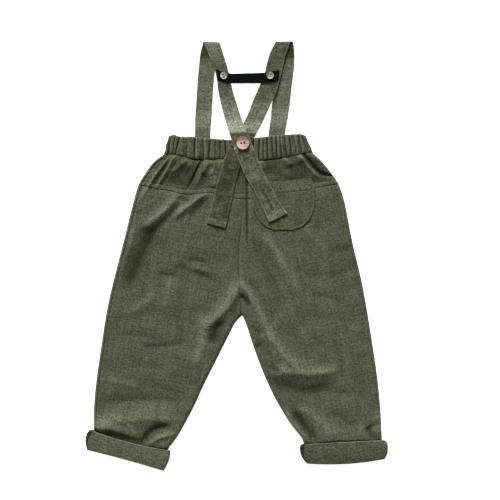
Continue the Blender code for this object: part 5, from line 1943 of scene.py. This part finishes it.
@dataclass(frozen=True)
class WoodFinish:
    """Smooth, lightly waxed wood."""

    name: str
    light: Colour
    dark: Colour
    streak: Colour
    rim: Colour
    centre: Triple
    turn: float
    radius: float
    heart: float = 0.85
    relief: float = 0.00005

    def make(self, grain: WoodGrain) -> Material:
        """Build the material round the button's centre, with a darker edge that is partly the wood's own edge
        and partly painted shadow.
        """
        material, n, shader = new_material(self.name)
        centred = n.add("Mapping", {"vector_type": "TEXTURE"}, Vector=n.add("TexCoord").outputs["Object"],
                        Location=self.centre, Rotation=(0.0, 0.0, self.turn)).outputs[0]
        wood = grain.place(n, Place=centred, Light=opaque(self.light), Dark=opaque(self.dark),
                           Streak=opaque(self.streak))
        across, along, _ = n.axes(centred)
        out = n.maths("SQRT", n.plus(n.times(across, across), n.times(along, along)))
        # A darker ring at the edge, partly the wood's own edge and partly painted shadow.
        edge = n.band(out, 0.86 * self.radius, 0.95 * self.radius)
        wavy = n.plus(along, n.times(wood["Height"], 0.1 * self.radius))
        heart = n.times(n.band(wavy, 0.22 * self.radius, 0.5 * self.radius), self.heart)
        colour = n.blend(heart, wood["Colour"], opaque(self.dark))
        n.relief(shader, wood["Height"], self.relief)
        n.fill(shader, Base_Color=n.blend(edge, colour, opaque(self.rim)),
               Roughness=n.plus(0.42, n.times(edge, 0.2)), Coat_Weight=0.12, Coat_Roughness=0.35)
        return material


@dataclass(frozen=True)
class ThreadFinish:
    """Twisted sewing thread."""

    name: str
    colour: Colour
    pale: Colour
    relief: float = 0.00008

    def make(self) -> Material:
        """Build the material, with a slanting twist."""
        material, n, shader = new_material(self.name)
        twist = n.speckle(n.add("TexCoord").outputs["Object"], (2600.0, 2600.0, 900.0))
        n.relief(shader, twist, self.relief)
        n.fill(shader, Base_Color=n.blend(twist, opaque(self.colour), opaque(self.pale)),
               Roughness=n.plus(0.6, n.times(twist, 0.2)))
        return material


@dataclass(frozen=True)
class FloorFinish:
    """A plain, pale studio floor, lit a little from below as a light table is."""

    name: str = "pale floor"
    glow: float = 0.85
    colour: Colour = (0.86, 0.86, 0.855)
    pale: Colour = (0.9, 0.9, 0.895)

    def make(self) -> Material:
        """Build the material, with a hardly visible mottle."""
        material, n, shader = new_material(self.name)
        cloud = n.speckle(n.add("TexCoord").outputs["Object"], (9.0, 9.0, 9.0))
        n.fill(shader, Base_Color=n.blend(cloud, opaque(self.colour), opaque(self.pale)), Roughness=0.9,
               Specular_IOR_Level=0.1, Emission_Color=(1.0, 1.0, 1.0, 1.0), Emission_Strength=self.glow)
        return material


# Assembly -----------------------------------------------------------------------------------

class Finishes:
    """Every finish of the garment, on shared node groups."""

    def __init__(self) -> None:
        """Build the groups and materials."""
        weave, wear_and_highlight = SlubWeave(), EdgeWearAndHighlight()
        self.grain = WoodGrain()
        linen = LinenFinish("olive slub linen", (0.0155, 0.0165, 0.004), (0.176, 0.19, 0.122))
        strap = LinenFinish("strap linen", (0.030, 0.033, 0.0115), (0.4725, 0.4965, 0.369))
        self.linen = linen.make(weave, wear_and_highlight)
        self.strap = strap.make(weave, wear_and_highlight)
        self.elastic = ElasticFinish().make()
        self.thread = ThreadFinish("olive thread", (0.10, 0.11, 0.066), (0.20, 0.217, 0.14)).make()
        self.pale_thread = ThreadFinish("button thread", (0.006, 0.005, 0.004), (0.02, 0.015, 0.011)).make()

    def wood(self, button: Button, base: float) -> Material:
        """Wood for one button, with the grain laid round its centre."""
        centre = (*in_frame(button.x, button.y), base * MM)
        radius = button.radius * MM
        if button.name == "button_waist":
            finish = WoodFinish("pink striped wood", (0.68, 0.47, 0.34), (0.20, 0.135, 0.105),
                                (0.52, 0.2, 0.14), (0.045, 0.025, 0.016), centre, math.radians(8.0), radius)
        else:
            finish = WoodFinish(button.name + " pale wood", (0.47, 0.41, 0.345), (0.15, 0.115, 0.09),
                                (0.40, 0.30, 0.24), (0.07, 0.045, 0.03), centre,
                                math.radians(button.turn), radius)
        return finish.make(self.grain)


class Trousers:
    """The whole garment, built from what lies lowest to what lies on top."""

    def __init__(self, finishes: Finishes) -> None:
        """Keep the finishes, and start with nothing built."""
        self.finishes = finishes
        self.fronts: list[BVHTree] = []
        self.backs: list[BVHTree] = []

    def build(self) -> None:
        """Build every piece in order."""
        self.build_front_half()
        self.build_back_half()
        self.build_turn_ups()
        self.build_pocket()
        self.build_straps()
        self.build_buttons()

    def stitches(self, name: str, paths: Iterable[Array], surfaces: Surfaces) -> Object:
        """Sew rows of stitches onto what lies under them.

        Args:
            name: The piece's name.
            paths: The plan path of each row.
            surfaces: What the rows lie on.

        Returns:
            The object that holds all stitches.
        """
        mesh = bmesh.new()
        for path in paths:
            StitchRow().add(mesh, path, surfaces)
        piece = place_mesh(name, mesh, self.finishes.thread)
        hand_over(piece, None)
        return piece.item

    def build_front_half(self) -> None:
        """The flat, hidden front: two legs and the front of the waistband."""
        for side in Side:
            piece = LegPanel(side).front(self.finishes.linen)
            self.fronts.append(piece.surface)
            hand_over(piece, "front_leg_" + side.value)
        band = Waistband().build_front(self.finishes.linen)
        self.fronts.append(band.surface)
        hand_over(band, "waistband_front")

    def build_back_half(self) -> None:
        """The loose back: yokes, legs, and the gathered waistband."""
        for side in Side:
            yoke = YokePanel(side).build(self.finishes.linen)
            leg = LegPanel(side).back(self.finishes.linen)
            surfaces = [yoke.surface, leg.surface]
            self.backs += surfaces
            sewn = self.stitches("seam_stitches_" + side.value, BACK_CLOTH.seam_paths(side), surfaces)
            hand_over(yoke, "yoke_" + side.value)
            hand_over(leg, "back_leg_" + side.value)
        band = Waistband().build_back(self.finishes.linen)
        self.backs.append(band.surface)
        hand_over(band, "waistband_back")

    def build_turn_ups(self) -> None:
        """Both turned-up hems."""
        for side in Side:
            turn_up = TurnUp(side)
            piece = turn_up.build(self.finishes.linen)
            sewn = self.stitches("hem_stitches_" + side.value, [turn_up.seam_path()], [piece.surface])
            hand_over(piece, "cuff_" + side.value)

    def build_pocket(self) -> None:
        """The patch pocket on the right back."""
        pocket = Pocket()
        piece = pocket.build(self.backs, self.finishes.linen)
        sewn = self.stitches("pocket_stitches", pocket.seam_paths(), [piece.surface])
        hand_over(piece, "pocket_back")
        self.backs.append(piece.surface)

    def build_straps(self) -> None:
        """Both straps, the right one under the left one, and the elastic across them."""
        for name, groove in (("strap_right", False), ("strap_left", True)):
            strap = Strap(name, groove)
            piece = strap.build(self.fronts, self.fronts + self.backs, self.finishes.strap)
            sewn = self.stitches(name + "_stitches", strap.seam_paths(), [piece.surface])
            hand_over(piece, name)
            self.backs.append(piece.surface)
        band = ElasticBand().build(self.backs, self.finishes.elastic)
        hand_over(band, "cross_band")
        self.backs.append(band.surface)

    def build_buttons(self) -> None:
        """The large button at the crossing and a small one at each end of the elastic."""
        for button in BUTTONS:
            base = button.base(self.backs)
            hand_over(button.build(base, self.finishes.wood(button, base)), button.name)
            hand_over(button.thread(base, self.finishes.pale_thread), None)


@dataclass(frozen=True)
class Studio:
    """The pale floor, soft lights and the camera straight above."""

    view_width: float = 0.75
    lens: float = 100.0
    sensor: float = 36.0
    middle: Pair = (21.0, 7.5)
    key_spread: float = 24.0
    key_power: float = 5.6
    key_way: Triple = (-0.26, 1.0, 0.6)
    key_off: float = 2.2
    fill: float = 0.27

    def build(self) -> None:
        """Set up floor, lights, world and camera."""
        self.floor()
        self.light("key", self.key_way, self.key_spread, self.key_power)
        self.world()
        self.camera()
        bpy.context.scene.view_settings.view_transform = "Standard"

    def floor(self) -> None:
        """A wide plane, just under the garment."""
        mesh = bmesh.new()
        bmesh.ops.create_grid(mesh, x_segments=8, y_segments=8, size=12000.0)
        piece = place_mesh("floor", mesh, FloorFinish().make())
        piece.item.data.transform(Matrix.Translation((0.0, 0.0, -0.0002)))

    def light(self, name: str, way: Triple, spread: float, power: float) -> None:
        """A broad, far light that shines at the garment from the given way.

        Args:
            name: The light's name.
            way: From the garment to the light.
            spread: How broad it looks from there, in degrees.
            power: Its strength.
        """
        lamp = bpy.data.lights.new(name, "SUN")
        lamp.angle = math.radians(spread)
        lamp.energy = power
        item = link(name, lamp)
        item.location = Vector(way).normalized() * self.key_off
        item.rotation_euler = Vector(way).to_track_quat("Z", "Y").to_euler()

    def world(self) -> None:
        """Even light from all round."""
        world = bpy.data.worlds.new("studio")
        world.use_nodes = True
        back = world.node_tree.nodes["Background"]
        back.inputs["Color"].default_value = (1.0, 1.0, 1.0, 1.0)
        back.inputs["Strength"].default_value = self.fill
        bpy.context.scene.world = world

    def camera(self) -> None:
        """A long lens straight above the garment, as far off as the frame needs."""
        lens = bpy.data.cameras.new("camera")
        lens.lens = self.lens
        lens.sensor_width = self.sensor
        distance = self.view_width * self.lens / self.sensor
        x, y = in_frame(*self.middle)
        lens.clip_end = 50.0
        bpy.context.scene.camera = link("camera", lens)
        bpy.context.scene.camera.location = (x, y, distance)


def main() -> None:
    """Build the studio and the garment."""
    logging.basicConfig(level=logging.INFO, format="%(name)s: %(message)s")
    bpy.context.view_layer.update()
    Studio().build()
    Trousers(Finishes()).build()


if __name__ == "__main__":
    main()
